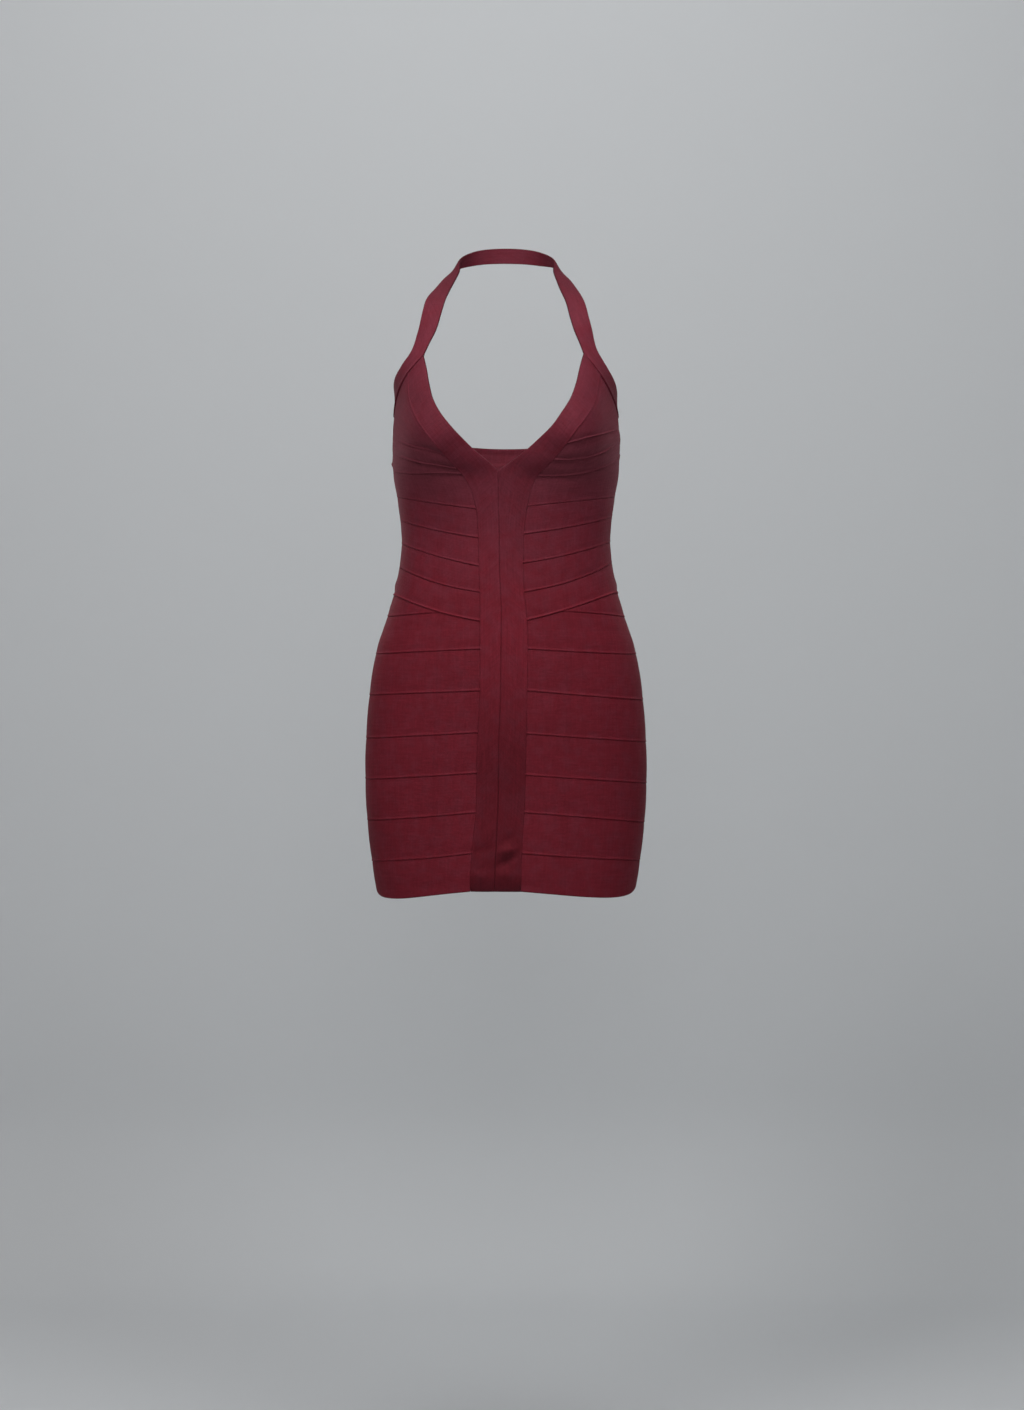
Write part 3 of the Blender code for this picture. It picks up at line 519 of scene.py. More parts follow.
# Noise in the yarn, with its scale for each metre: the streaks' along and across the band, and the
# others' the same each way
Noise = namedtuple("Noise", "scale detail")
STREAK = Noise((30.0, 480.0, 1.0), 2.0)
CROSS_STREAK = Noise((420.0, 36.0, 1.0), 2.0)
GRAIN = Noise((420.0, 420.0, 420.0), 3.0)
MOTTLE = Noise((18.0, 18.0, 18.0), 3.0)
BLOTCH = Noise((80.0, 80.0, 80.0), 3.0)
NOISE_ROUGHNESS = 0.55

# The range that each pattern of the knit takes, how far it shifts the yarn's tone, and its share of the
# loops' height
Pattern = namedtuple("Pattern", "low high tone height")
PATTERNS = {
    "streak": Pattern(0.25, 0.75, 0.11, 1.0),
    "cross_streak": Pattern(0.25, 0.75, 0.10, 0.8),
    "grain": Pattern(0.25, 0.75, 0.10, 1.2),
    "mottle": Pattern(0.25, 0.75, 0.06, 0.0),
    "course": Pattern(-1.0, 1.0, 0.04, 0.5),
    "wale": Pattern(-1.0, 1.0, 0.0, 0.25),
}

# How light the centre bands are beside the side panels: darker from the hips down, with painted shade where
# the hem curls under and painted light and shade at the waist and over the bust
Tone = namedtuple("Tone", "height right left")
CENTRE_TONE_AND_SHADE = (
    Tone(-0.790, 0.58, 0.58),
    Tone(-0.762, 0.60, 0.60),
    Tone(-0.748, 0.74, 0.74),
    Tone(-0.705, 0.78, 0.77),
    Tone(-0.680, 0.80, 0.79),
    Tone(-0.625, 0.76, 0.73),
    Tone(-0.585, 0.88, 0.83),
    Tone(-0.505, 1.12, 1.08),
    Tone(-0.450, 1.12, 1.10),
    Tone(-0.390, 1.03, 1.00),
    Tone(-0.320, 0.95, 0.92),
    Tone(-0.285, 0.94, 0.88),
    Tone(-0.272, 0.98, 0.82),
    Tone(-0.258, 1.02, 0.86),
    Tone(-0.243, 1.09, 1.00),
    Tone(-0.235, 1.02, 0.99),
    Tone(-0.226, 0.90, 0.92),
    Tone(-0.195, 0.88, 0.88),
    Tone(-0.160, 0.98, 0.96),
)
# and painted shade on the halter band, darker where the neck and the arms would shade it, with a painted
# highlight just above the cups' tips
HALTER_PAINTED_SHADE = (
    Tone(-0.215, 0.78, 0.80),
    Tone(-0.172, 0.80, 0.84),
    Tone(-0.155, 1.00, 1.00),
    Tone(-0.145, 1.12, 1.12),
    Tone(-0.115, 1.08, 1.04),
    Tone(-0.090, 1.00, 1.00),
    Tone(-0.045, 0.69, 0.69),
)

# Camera, room and lamps
CAMERA_X = 0.0072
CAMERA_Y = -3.070
CAMERA_Z = -0.551
LENS_MM = 63.83
SENSOR_MM = 36.0
FLOOR_Z = -1.52
FLOOR_FRONT = -4.5
WALL_Y = 1.25
WALL_TOP = 3.2
ROOM_WIDTH = 7.0
ROOM_BEND = 0.30            # radius of the curve from the floor to the wall
BEND_STEPS = 12
FADE_FROM = 2.2             # the floor and the wall fade out between these distances from the nape
FADE_TO = 3.5
STUDIO_GREY = (0.70, 0.715, 0.73, 1.0)
STUDIO_ROUGHNESS = 0.9
FAR_GREY = (0.40, 0.41, 0.42, 1.0)      # what the camera sees past them
FAINT_SKY = (0.93, 0.96, 1.0, 1.0)
SKY_STRENGTH = 0.02

Lamp = namedtuple("Lamp", "name at aim size watts colour")
WHITE = (1.0, 1.0, 1.0)
COOL = (0.98, 1.03, 1.05)
WARM = (1.0, 0.62, 0.68)
MIDDLE = (0.0, 0.0, -0.45)
LAMPS = (
    Lamp("key", (-1.55, -2.4, 1.7), MIDDLE, 1.2, 30.5, WHITE),
    Lamp("second", (1.55, -2.4, 1.7), MIDDLE, 1.2, 17.7, COOL),
    Lamp("overhead", (0.0, -0.9, 1.9), (0.0, -0.1, -0.45), 1.6, 36.0, WHITE),
    Lamp("front", (0.0, -3.3, 0.4), MIDDLE, 1.2, 10.0, WHITE),
    Lamp("behind", (0.0, 1.9, 2.1), MIDDLE, 0.9, 60.0, WHITE),
    Lamp("low_side_right", (-0.42, 0.26, -0.27), (-0.11, -0.07, -0.29), 0.20, 0.34, WARM),
    Lamp("low_side_left", (0.44, 0.18, -0.25), (0.11, -0.07, -0.27), 0.20, 0.27, WARM),
)


# ---- curves and the form ----


def through(keys, values, at):
    """Values at keys on the smooth curve through the rows, whose keys rise."""
    keys = np.asarray(keys, float)
    values = np.asarray(values, float)
    spans = np.diff(keys)
    chords = np.diff(values) / spans
    middle = (chords[:-1] * spans[1:] + chords[1:] * spans[:-1]) / (spans[:-1] + spans[1:])
    slopes = np.concatenate((chords[:1], middle, chords[-1:]))
    at = np.clip(at, keys[0], keys[-1])
    low = np.clip(np.searchsorted(keys, at, side="right") - 1, 0, len(keys) - 2)
    span = spans[low]
    t = (at - keys[low]) / span
    start = (1 + 2 * t) * (1 - t) ** 2 * values[low] + t * (1 - t) ** 2 * span * slopes[low]
    end = t * t * (3 - 2 * t) * values[low + 1] + t * t * (t - 1) * span * slopes[low + 1]
    return start + end


def column(rows, name):
    """One named column of a table."""
    return [getattr(row, name) for row in rows]


def at_height(rows, name, height):
    """A column's values at heights, in a table whose rows go upwards."""
    return through(column(rows, "height"), column(rows, name), height)


def interpolated(rows, name, height):
    """A column's values at heights, straight from row to row."""
    return np.interp(height, column(rows, "height"), column(rows, name))


def unit(vectors):
    """Vectors brought to length 1."""
    return vectors / np.maximum(np.linalg.norm(vectors, axis=-1, keepdims=True), SMALLEST)


def eased(value, low, high):
    """0 below low and 1 above high, with a smooth step between; low may be the greater."""
    share = np.clip((value - low) / (high - low), 0.0, 1.0)
    return share * share * (3 - 2 * share)


def form_point(angle, height):
    """Points of the form that the cloth lies on."""
    angle, height = np.broadcast_arrays(np.asarray(angle, float), np.asarray(height, float))
    sine = np.sin(angle)
    cosine = np.cos(angle)
    x = np.sign(sine) * at_height(SECTIONS, "half_width", height) * np.abs(sine) ** ROUNDNESS
    across = np.abs(cosine) ** ROUNDNESS
    spread = np.where(height > CUP_HEIGHT, CUP_RISE, CUP_FALL)
    out = np.abs(x)
    aside = (out - CUP_OUT) / np.where(out > CUP_OUT, CUP_SPREAD, CUP_SPREAD_IN)
    reach = aside ** 2 + ((height - CUP_HEIGHT) / spread) ** 2
    bulge = CUP_DEPTH * np.exp(-(reach ** CUP_FULLNESS)) * (1 - sine ** CUP_SIDE_FADE)
    reach = ((out - BRIDGE_OUT) / BRIDGE_SPREAD) ** 2 + ((height - BRIDGE_HEIGHT) / BRIDGE_RISE) ** 2
    bulge = bulge + BRIDGE_DEPTH * np.exp(-reach)
    front = -at_height(SECTIONS, "front", height) * across - bulge
    back = at_height(SECTIONS, "back", height) * across
    return np.stack((x, np.where(cosine >= 0, front, back) + BODY_AXIS_Y, height), axis=-1)


def form_slopes(angle, height):
    """How the form runs round the body and upwards."""
    turned = form_point(angle + ANGLE_STEP, height) - form_point(angle - ANGLE_STEP, height)
    raised = form_point(angle, height + HEIGHT_STEP) - form_point(angle, height - HEIGHT_STEP)
    return turned / (2 * ANGLE_STEP), raised / (2 * HEIGHT_STEP)


def form_normal(angle, height):
    """Straight out of the cloth."""
    turned, raised = form_slopes(angle, height)
    return unit(np.cross(turned, raised))


def angle_of(out, height):
    """Angles of the points of the front that lie at x = out."""
    share = np.minimum(np.abs(out) / at_height(SECTIONS, "half_width", height), 1.0)
    return np.sign(out) * np.arcsin(share ** (1 / ROUNDNESS))


# ---- seams ----


def seam_height(side, seam, t):
    """Heights of a side panel's seam, t = 0 at the centre band and 1 at the side seam."""
    if seam == "skirt_top":
        return np.minimum(seam_height(side, "waist", t), seam_height(side, "hip", t))
    thirds = (0.0, 1 / 3, 2 / 3, 1.0)
    total = 0.0
    for i, height in enumerate(FRONT_SEAMS[side][seam]):
        weight = 1.0
        for j, other in enumerate(thirds):
            if j != i:
                weight = weight * (t - other) / (thirds[i] - other)
        total = total + weight * height
    return total


def back_height(seam, share):
    """Heights of a back seam, share = 0 at the right side seam and 1 at the left one."""
    if seam == "back_edge":
        slant = 1 + (HALTER_SLANT - 1) * (2 * share - 1) ** 2
        return back_height("armhole", share) + HALTER_WIDTH * slant
    row = BACK_SEAMS[seam]
    right = FRONT_SEAMS[RIGHT][row.meets].side
    left = FRONT_SEAMS[LEFT][row.meets].side
    return right + (left - right) * share - row.sag * (1 - (2 * share - 1) ** 2)


def lowered(seam, above):
    """How far below its seam an edge is sewn: a lapped seam's upper band reaches down over the lower."""
    if seam not in LAPPED_SEAMS:
        return HAIR if seam == "armhole" and not above else 0.0
    return LAP if above else LAP + HAIR


def panel_place(side, t, height):
    """Angles and heights of places on a side panel."""
    start = angle_of(at_height(OUTER_SEAM, SIDE_NAMES[side], height), height)
    return start + t * (side * SIDE_SEAM - start), height


def inner_height(side, outer_height):
    """Heights on a centre band's inner edge, square across from those on its outer seam."""
    outer = column(ACROSS, "outer") + [FRONT_SEAMS[side]["armhole"].centre]
    inner = column(ACROSS, "inner") + [TIP_HEIGHT[side]]
    return through(outer, inner, outer_height)


def inner_out(side, height):
    """x of a centre band's inner edge: the neckline, then the centre seam."""
    neckline = at_height(NECKLINE, SIDE_NAMES[side], height)
    return np.where(height > V_HEIGHT, neckline, at_height(CENTRE_SEAM, "out", height))


def centre_place(side, share, outer_height):
    """Places on a centre band: share 0 on its outer seam, 1 on its inner edge."""
    outer_x = at_height(OUTER_SEAM, SIDE_NAMES[side], outer_height)
    height_in = inner_height(side, outer_height)
    out = outer_x + (inner_out(side, height_in) - outer_x) * share
    height = outer_height + (height_in - outer_height) * share
    return angle_of(out, height), height


# ---- grids ----


def run_lengths(points, axis):
    """Distance run along a grid's lines, from its first line."""
    steps = np.linalg.norm(np.diff(points, axis=axis), axis=-1)
    run = np.cumsum(steps, axis=axis)
    first = np.zeros_like(np.take(run, [0], axis=axis))
    return np.concatenate((first, run), axis=axis)


def spaced(total, start_steps, end_steps, middle):
    """Distances along a line of a given length: close by its ends, even between, with a set count."""
    scale = min(1.0, CLOSE_SHARE * total / (start_steps[-1] + end_steps[-1]))
    start = np.array(start_steps) * scale
    end = total - np.array(end_steps[::-1]) * scale
    return np.concatenate((start, np.linspace(start[-1], end[0], middle + 1)[1:-1], end))


def count_between(total, start_steps, end_steps, step):
    """How many even steps fit between a line's two ends."""
    return max(2, math.ceil((total - start_steps[-1] - end_steps[-1]) / step))


def fitted_grid(surface, ends, edges, across_step, along_step):
    """Parameters (u, v) of a grid on surface(u, v), close by the edges.

    ends holds the close steps at u = 0 and u = 1, edges those at v = 0 and v = 1.
    """
    fine = np.linspace(0.0, 1.0, LINE_STATIONS)
    across = surface(fine, np.full_like(fine, 0.5))[0]
    run = run_lengths(across, 0)
    middle = count_between(run[-1], ends[0], ends[1], across_step)
    u = np.interp(spaced(run[-1], ends[0], ends[1], middle), run, fine)
    along = surface(*np.meshgrid(u, fine))[0]
    runs = run_lengths(along, 0)
    middle = count_between(runs[-1].max(), edges[0], edges[1], along_step)
    v = np.array([np.interp(spaced(line[-1], edges[0], edges[1], middle), line, fine) for line in runs.T]).T
    return np.broadcast_to(u, v.shape), v


def profile(edge, distance):
    """Height that an edge gives the cloth at distances in from it."""
    return np.interp(distance, column(edge, "inward"), column(edge, "rise"))


def unevenness(run, seed):
    """A slow wander about 1, as hand-fed seams have."""
    return 1 + sum(row.share * np.sin(run * row.turn + seed * row.phase) for row in WANDERS)


def bulged(across, crown, axis=0):
    """How far a band bulges between its edges, from distances across it."""
    share = across / np.maximum(np.take(across, [-1], axis=axis), SMALLEST)
    return crown * 4 * share * (1 - share)


def creased(points, creases):
    """Rise of the listed creases at points."""
    rise = np.zeros(points.shape[:-1])
    for crease in creases:
        turn = math.radians(crease.turn)
        x = points[..., 0] - crease.x
        z = points[..., 2] - crease.height
        along = (x * math.cos(turn) + z * math.sin(turn)) / crease.length
        aside = (z * math.cos(turn) - x * math.sin(turn)) / crease.width
        rise += crease.rise * np.exp(-along ** 2 - aside ** 2)
    return rise


def body_relief(points):
    """What all pieces share: creases, and the dip between the thighs."""
    is_front = points[..., 1] < BODY_AXIS_Y
    rise = np.where(is_front, creased(points, FRONT_CREASES), creased(points, BACK_CREASES))
    for end in SEAM_ENDS:
        away = np.linalg.norm(points - np.array((end.x, BODY_AXIS_Y, end.height)), axis=-1)
        rise = rise + end.rise * np.exp(-((away / end.size) ** 2))
    cleft = CLEFT_DEPTH * np.exp(-(((points[..., 0] - CLEFT_X) / CLEFT_WIDTH) ** 2))
    return rise - np.where(is_front, cleft * eased(points[..., 2], CLEFT_TOP, CLEFT_FULL), 0.0)


# ---- meshes ----


def closed_cloth(name, outer, inner, rounding, uv, tone):
    """A closed piece of cloth from its outer and inner grids, with its rim rounded outwards."""
    rows, columns = outer.shape[:2]
    count = rows * columns
    index = np.arange(count).reshape(rows, columns)
    rim = np.concatenate((index[0, :], index[1:, -1], index[-1, -2::-1], index[-2:0:-1, 0]))
    inward = np.concatenate((index[1, :], index[1:, -2], index[-2, -2::-1], index[-2:0:-1, 1]))
    outer_flat = outer.reshape(-1, 3)
    inner_flat = inner.reshape(-1, 3)
    push = unit(outer_flat[rim] - outer_flat[inward]) * rounding.reshape(-1)[rim][:, None]
    middle = (outer_flat[rim] + inner_flat[rim]) / 2 + push
    vertices = np.concatenate((outer_flat, inner_flat, middle))
    a, b = index[:-1, :-1].ravel(), index[1:, :-1].ravel()
    c, d = index[1:, 1:].ravel(), index[:-1, 1:].ravel()
    ring = 2 * count + np.arange(len(rim))
    rim_next = np.roll(rim, -1)
    ring_next = np.roll(ring, -1)
    faces = np.concatenate((
        np.stack((a, b, c, d), 1),
        np.stack((a, d, c, b), 1) + count,
        np.stack((rim, rim_next, ring_next, ring), 1),
        np.stack((ring, ring_next, rim_next + count, rim + count), 1),
    ))
    mid_row, mid_column = rows // 2, columns // 2
    out = outer[mid_row, mid_column] - inner[mid_row, mid_column]
    down = outer[mid_row + 1, mid_column] - outer[mid_row, mid_column]
    side = outer[mid_row, mid_column + 1] - outer[mid_row, mid_column]
    if np.dot(np.cross(down, side), out) < 0:
        faces = faces[:, ::-1]
    mesh = bpy.data.meshes.new(name)
    mesh.from_pydata(vertices.tolist(), [], faces.tolist())
    mesh.polygons.foreach_set("use_smooth", np.ones(len(faces), bool))
    uv_flat = uv.reshape(-1, 2)
    point_uv = np.concatenate((uv_flat, uv_flat, uv_flat[rim]))
    layer = mesh.uv_layers.new(name="Knit")
    layer.data.foreach_set("uv", point_uv[faces.ravel()].astype(np.float32).ravel())
    # the rim gets painted shade, the inner face none
    tones = np.concatenate((tone.ravel(), np.ones(count), RIM_PAINTED_SHADE * tone.ravel()[rim]))
    mesh.attributes.new("tone", "FLOAT", "POINT").data.foreach_set("value", tones.astype(np.float32))
    mesh.update()
    piece = bpy.data.objects.new(name, mesh)
    bpy.context.collection.objects.link(piece)
    return piece


def finished(piece, node, slot):
    """Gives a piece its finish and its place on the frame, and hides the part that it stands for."""
    piece.data.materials.append(knit_material(slot))
    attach(piece, "root")
    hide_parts(node)
    return piece


def inner_of(points, normals, allowance, shift):
    """The cloth's inner face: in by the cloth and by the allowances sewn down inside, out by the shift."""
    return points + normals * (shift - CLOTH - allowance)[..., None]


def seam_shade_and_highlight(seams):
    """Painted shade down in the seams and painted highlight on high ridges, as a tone of the cloth."""
    return 1 + SEAM_PAINTED_HIGHLIGHT * eased(seams, *LIT_RIDGE) - SEAM_SHADE * eased(seams, *SHADED_SEAM)


def allowance_at(distance):
    """Thickness of the overlocked allowance inside a seam."""
    return ALLOWANCE * (1 - eased(distance, ALLOWANCE_FULL, ALLOWANCE_END))


def form_surface(place):
    """A surface on the form, from a function that gives places for (u, v)."""

    def surface(u, v):
        angle, height = place(u, v)
        return form_point(angle, height), form_normal(angle, height)

    return surface


# ---- the pieces ----


def band_piece(node, slot, place, piece, ends, seed, fade=(0.0, 1.0)):
    """One knit band on the form: u runs along it from its first end, v from its upper seam down."""
    surface = form_surface(place)
    u, v = fitted_grid(surface, (PLAIN_ROWS, PLAIN_ROWS), (PLAIN_ROWS, EDGE_ROWS), COLUMN_STEP, ROW_STEP)
    points, normals = surface(u, v)
    along = run_lengths(points, 1)
    across = run_lengths(points, 0)
    from_end = along[:, -1:] - along
    from_bottom = across[-1:, :] - across
    height = across[-1:, :]
    narrow = np.clip(height / FULL_BAND, 0.0, 1.0)
    faded = eased(u, *fade)
    if piece.edge_bottom is RUCHED:
        to_side = faded
    else:
        to_side = 2 * np.abs(u - 0.5) if slot == "back_knit" else u
    amount = piece.amount + (piece.amount_side - piece.amount) * to_side
    seams = profile(piece.edge_bottom, from_bottom) * amount * unevenness(along, seed) * narrow
    left = 1 - (1 - RUCHED_LEFT) * faded if piece.edge_top is UNDER_RUCHED else 1.0
    seams += profile(piece.edge_top, across) * narrow * left
    seams += profile(ends[0], along) + profile(ends[1], from_end)
    relief = body_relief(points)
    outer = points + normals * (seams + bulged(across, CROWN * narrow) + relief)[..., None]
    nearest = np.minimum(np.minimum(across, from_bottom), np.minimum(along, from_end))
    inner = inner_of(points, normals, allowance_at(nearest) * narrow, relief)
    rounding = np.full(seams.shape, SEWN_RIM)
    if piece.edge_bottom is FOLDED:
        rounding[-1, :] = FOLDED_RIM
    if piece.edge_top is FOLDED:
        rounding[0, :] = FOLDED_RIM
    uv = np.stack((along, from_bottom), axis=-1)
    # the tone attribute carries the seams' painted shade and highlight
    made = closed_cloth("knit_" + node, outer, inner, rounding, uv, seam_shade_and_highlight(seams))
    return finished(made, node, slot)


def side_panel(side):
    """The pieces of one side of the front, from the centre band to the side seam."""
    for number, piece in enumerate(FRONT_PIECES):
        start = WEDGE_START[side] if piece.name == "hip_wedge" else 0.0

        def place(u, v, piece=piece, start=start):
            t = start + (1 - start) * u
            top = seam_height(side, piece.top, t) - lowered(piece.top, above=False)
            bottom = seam_height(side, piece.bottom, t) - lowered(piece.bottom, above=True)
            return panel_place(side, t, top + (bottom - top) * v)

        node = piece.name + "_" + SIDE_NAMES[side]
        piece = piece._replace(amount=SEAM_AMOUNT[side].get(piece.name, piece.amount))
        ends = (CUP_END if piece.name == "cup" else UNDER, GROOVE)
        band_piece(node, "side_knit", place, piece, ends, number + side * 0.5, RUCHED_FADE[side])


def back_panel():
    """The pieces of the back, from the left side seam round to the right one."""
    for number, piece in enumerate(BACK_PIECES):

        def place(u, v, piece=piece):
            top = back_height(piece.top, 1 - u) - lowered(piece.top, above=False)
            bottom = back_height(piece.bottom, 1 - u) - lowered(piece.bottom, above=True)
            return SIDE_SEAM + u * HALF_TURN, top + (bottom - top) * v

        band_piece(piece.name, "back_knit", place, piece, (GROOVE, GROOVE), number + 7)


def centre_band(side):
    """One centre band: u runs from its outer seam to its inner edge, v from the cup's tip to the hem."""
    top = FRONT_SEAMS[side]["armhole"].centre
    bottom = FRONT_SEAMS[side]["hem"].centre - HEM_DROP

    def place(u, v):
        return centre_place(side, u, top + (bottom - top) * v)

    surface = form_surface(place)
    ends = (EDGE_ROWS[:-1], EDGE_ROWS[:-1])
    u, v = fitted_grid(surface, ends, (PLAIN_ROWS, EDGE_ROWS), CENTRE_STEP, STRIP_STEP)
    points, normals = surface(u, v)
    across = run_lengths(points, 1)
    down = run_lengths(points, 0)
    from_inner = across[:, -1:] - across
    from_bottom = down[-1:, :] - down
    height = points[..., 2]
    neck = eased(height, V_HEIGHT - NECK_EASING, V_HEIGHT + NECK_EASING)
    standing = interpolated(OUTER_EDGE, SIDE_NAMES[side], height)
    seams = profile(TOP_STITCHED, across) * unevenness(down, side) * standing
    joined = (1 - neck) * (1 - GROOVE_LOSS * eased(height, GROOVE_FULL, GROOVE_SHALLOW))
    seams += profile(FOLDED, from_inner) * neck + profile(GROOVE, from_inner) * joined
    seams += profile(UNDER, down) + profile(FOLDED, from_bottom)
    rise = seams + bulged(across, CENTRE_CROWN, axis=1)
    for piece in FRONT_PIECES:
        if piece.name not in ("hip_wedge", "hem_band"):
            above_end = height - (seam_height(side, piece.bottom, 0.0) - LAP)
            rise += LUMP * piece.amount * np.exp(-((above_end / LUMP_UP) ** 2 + (across / LUMP_ACROSS) ** 2))
    shift = body_relief(points) - HEM_CURL * np.clip(1 - from_bottom / HEM_TURN, 0.0, 1.0) ** 2
    outer = points + normals * (rise + shift)[..., None]
    nearest = np.minimum(across, np.where(neck > 0.5, np.inf, from_inner))
    inner = inner_of(points, normals, allowance_at(nearest), shift)
    rounding = np.full(rise.shape, SEWN_RIM)
    rounding[:, -1] = SEWN_RIM + FOLDED_RIM * neck[:, -1]
    rounding[-1, :] = CURLED_RIM
    uv = np.stack((down, across), axis=-1)
    node = "centre_band_" + SIDE_NAMES[side]
    # painted shade in the seams, and the centre band's tone with painted light and shade at the hem, waist
    # and bust
    tone = seam_shade_and_highlight(seams) * interpolated(CENTRE_TONE_AND_SHADE, SIDE_NAMES[side], height)
    made = closed_cloth("knit_" + node, outer, inner, rounding, uv, tone)
    return finished(made, node, "centre_knit")


def stepped_on_form(angle, height, across, distance):
    """Places reached from others by going a distance across the cloth."""
    target = form_point(angle, height) + across * distance[..., None]
    for _ in range(SETTLING_STEPS):
        turned, raised = form_slopes(angle, height)
        miss = target - form_point(angle, height)
        tt = (turned * turned).sum(-1)
        tr = (turned * raised).sum(-1)
        rr = (raised * raised).sum(-1)
        mt = (miss * turned).sum(-1)
        mr = (miss * raised).sum(-1)
        det = tt * rr - tr * tr
        angle = angle + (mt * rr - mr * tr) / det
        height = height + (mr * tt - mt * tr) / det
    return angle, height


def halter_on_form(side, shares):
    """The halter band from the side seam to the cup's tip: a row of points for each station."""
    t = np.linspace(1.0, 0.0, ARMHOLE_STATIONS)
    angle, height = panel_place(side, t, seam_height(side, "armhole", t))
    over_tip = np.linspace(0.0, 1.0, TIP_STATIONS + 1)[1:]
    top = np.full(TIP_STATIONS, FRONT_SEAMS[side]["armhole"].centre)
    tip_angle, tip_height = centre_place(side, over_tip, top)
    angle = np.concatenate((angle, tip_angle))
    height = np.concatenate((height, tip_height))
    seam = form_point(angle, height)
    run = run_lengths(seam, 0)
    run = run / run[-1]
    upright = np.clip(1 - run / HALTER_TURN, 0.0, 1.0)[:, None]
    width = HALTER_WIDTH + (HALTER_TIP_WIDTH - HALTER_WIDTH) * run
    square = unit(np.cross(unit(np.gradient(seam, axis=0)), form_normal(angle, height))) * side
    raised = unit(form_slopes(angle, height)[1])
    across = unit(square * (1 - upright) + raised * upright)
    slant = (across * square).sum(-1)
    wider = HALTER_SLANT * slant[0] - 1
    width = width * (1 + wider * np.exp(-((run / HALTER_MEET) ** 2)))
    reach = (width / slant)[:, None] * shares
    shape = reach.shape
    angle = np.broadcast_to(angle[:, None], shape)
    height = np.broadcast_to(height[:, None], shape)
    place = stepped_on_form(angle, height, np.broadcast_to(across[:, None, :], shape + (3,)), reach)
    return form_point(*place)


def strap_points(side, tip, shares):
    """The strap from just above the cup's tip to the nape."""
    square = tip[-1] - tip[0]
    facing = unit(np.cross(square, UP))
    middles = [(tip[0] + tip[-1]) / 2]
    facings = [-facing * np.sign(facing[1])]
    widths = [np.linalg.norm(square)]
    last = STRAPS[side][-1]
    past_nape = last._replace(out=-last.out, turned_out=-last.turned_out)
    for row in STRAPS[side] + (NAPE, past_nape):
        turned = math.radians(row.turned_out)
        up = math.radians(row.up)
        middles.append(np.array((side * row.out, row.depth + BODY_AXIS_Y, row.height)))
        level = np.array((side * math.sin(turned), -math.cos(turned), 0.0))
        facings.append(level * math.cos(up) + UP * math.sin(up))
        widths.append(row.width)
    middles = np.array(middles)
    facings = np.array(facings)
    keys = run_lengths(middles, 0)
    at = np.linspace(0.0, keys[-2], round(keys[-2] / STRIP_STEP) + 1)[1:]

    def smooth(vectors, places):
        return np.stack([through(keys, vectors[:, axis], places) for axis in range(3)], axis=-1)

    line = smooth(middles, at)
    along = unit(smooth(middles, at + CLOTH) - smooth(middles, at - CLOTH))
    across = unit(np.cross(along, smooth(facings, at))) * -side
    width = through(keys, widths, at)[:, None, None]
    points = line[:, None, :] + across[:, None, :] * width * (0.5 - shares)[None, :, None]
    straight = tip[0] + (tip[-1] - tip[0]) * shares[:, None]
    return points + (tip - straight) * np.exp(-((at / TIP_BLEND) ** 2))[:, None, None]


def eased_at_tip(points, tip, shares):
    """A half of the halter band with its outer edge running smoothly past the cup's tip."""
    row = np.arange(len(points))[:, None, None]
    hold = np.exp(-(((row - tip) / HELD_ROWS) ** 2)) * shares[None, :, None] ** HELD_OUTWARDS
    after = np.exp(-(((row - tip) / STRAP_ROWS - 1) ** 2)) * (row > tip)
    hold = np.maximum(hold, after) * (row > 0) * (row < len(points) - 1)
    for _ in range(SMOOTHING_PASSES):
        middle = (np.roll(points, 1, axis=0) + np.roll(points, -1, axis=0)) / 2
        points = points + (middle - points) * hold * SMOOTHING_SHARE
    return points


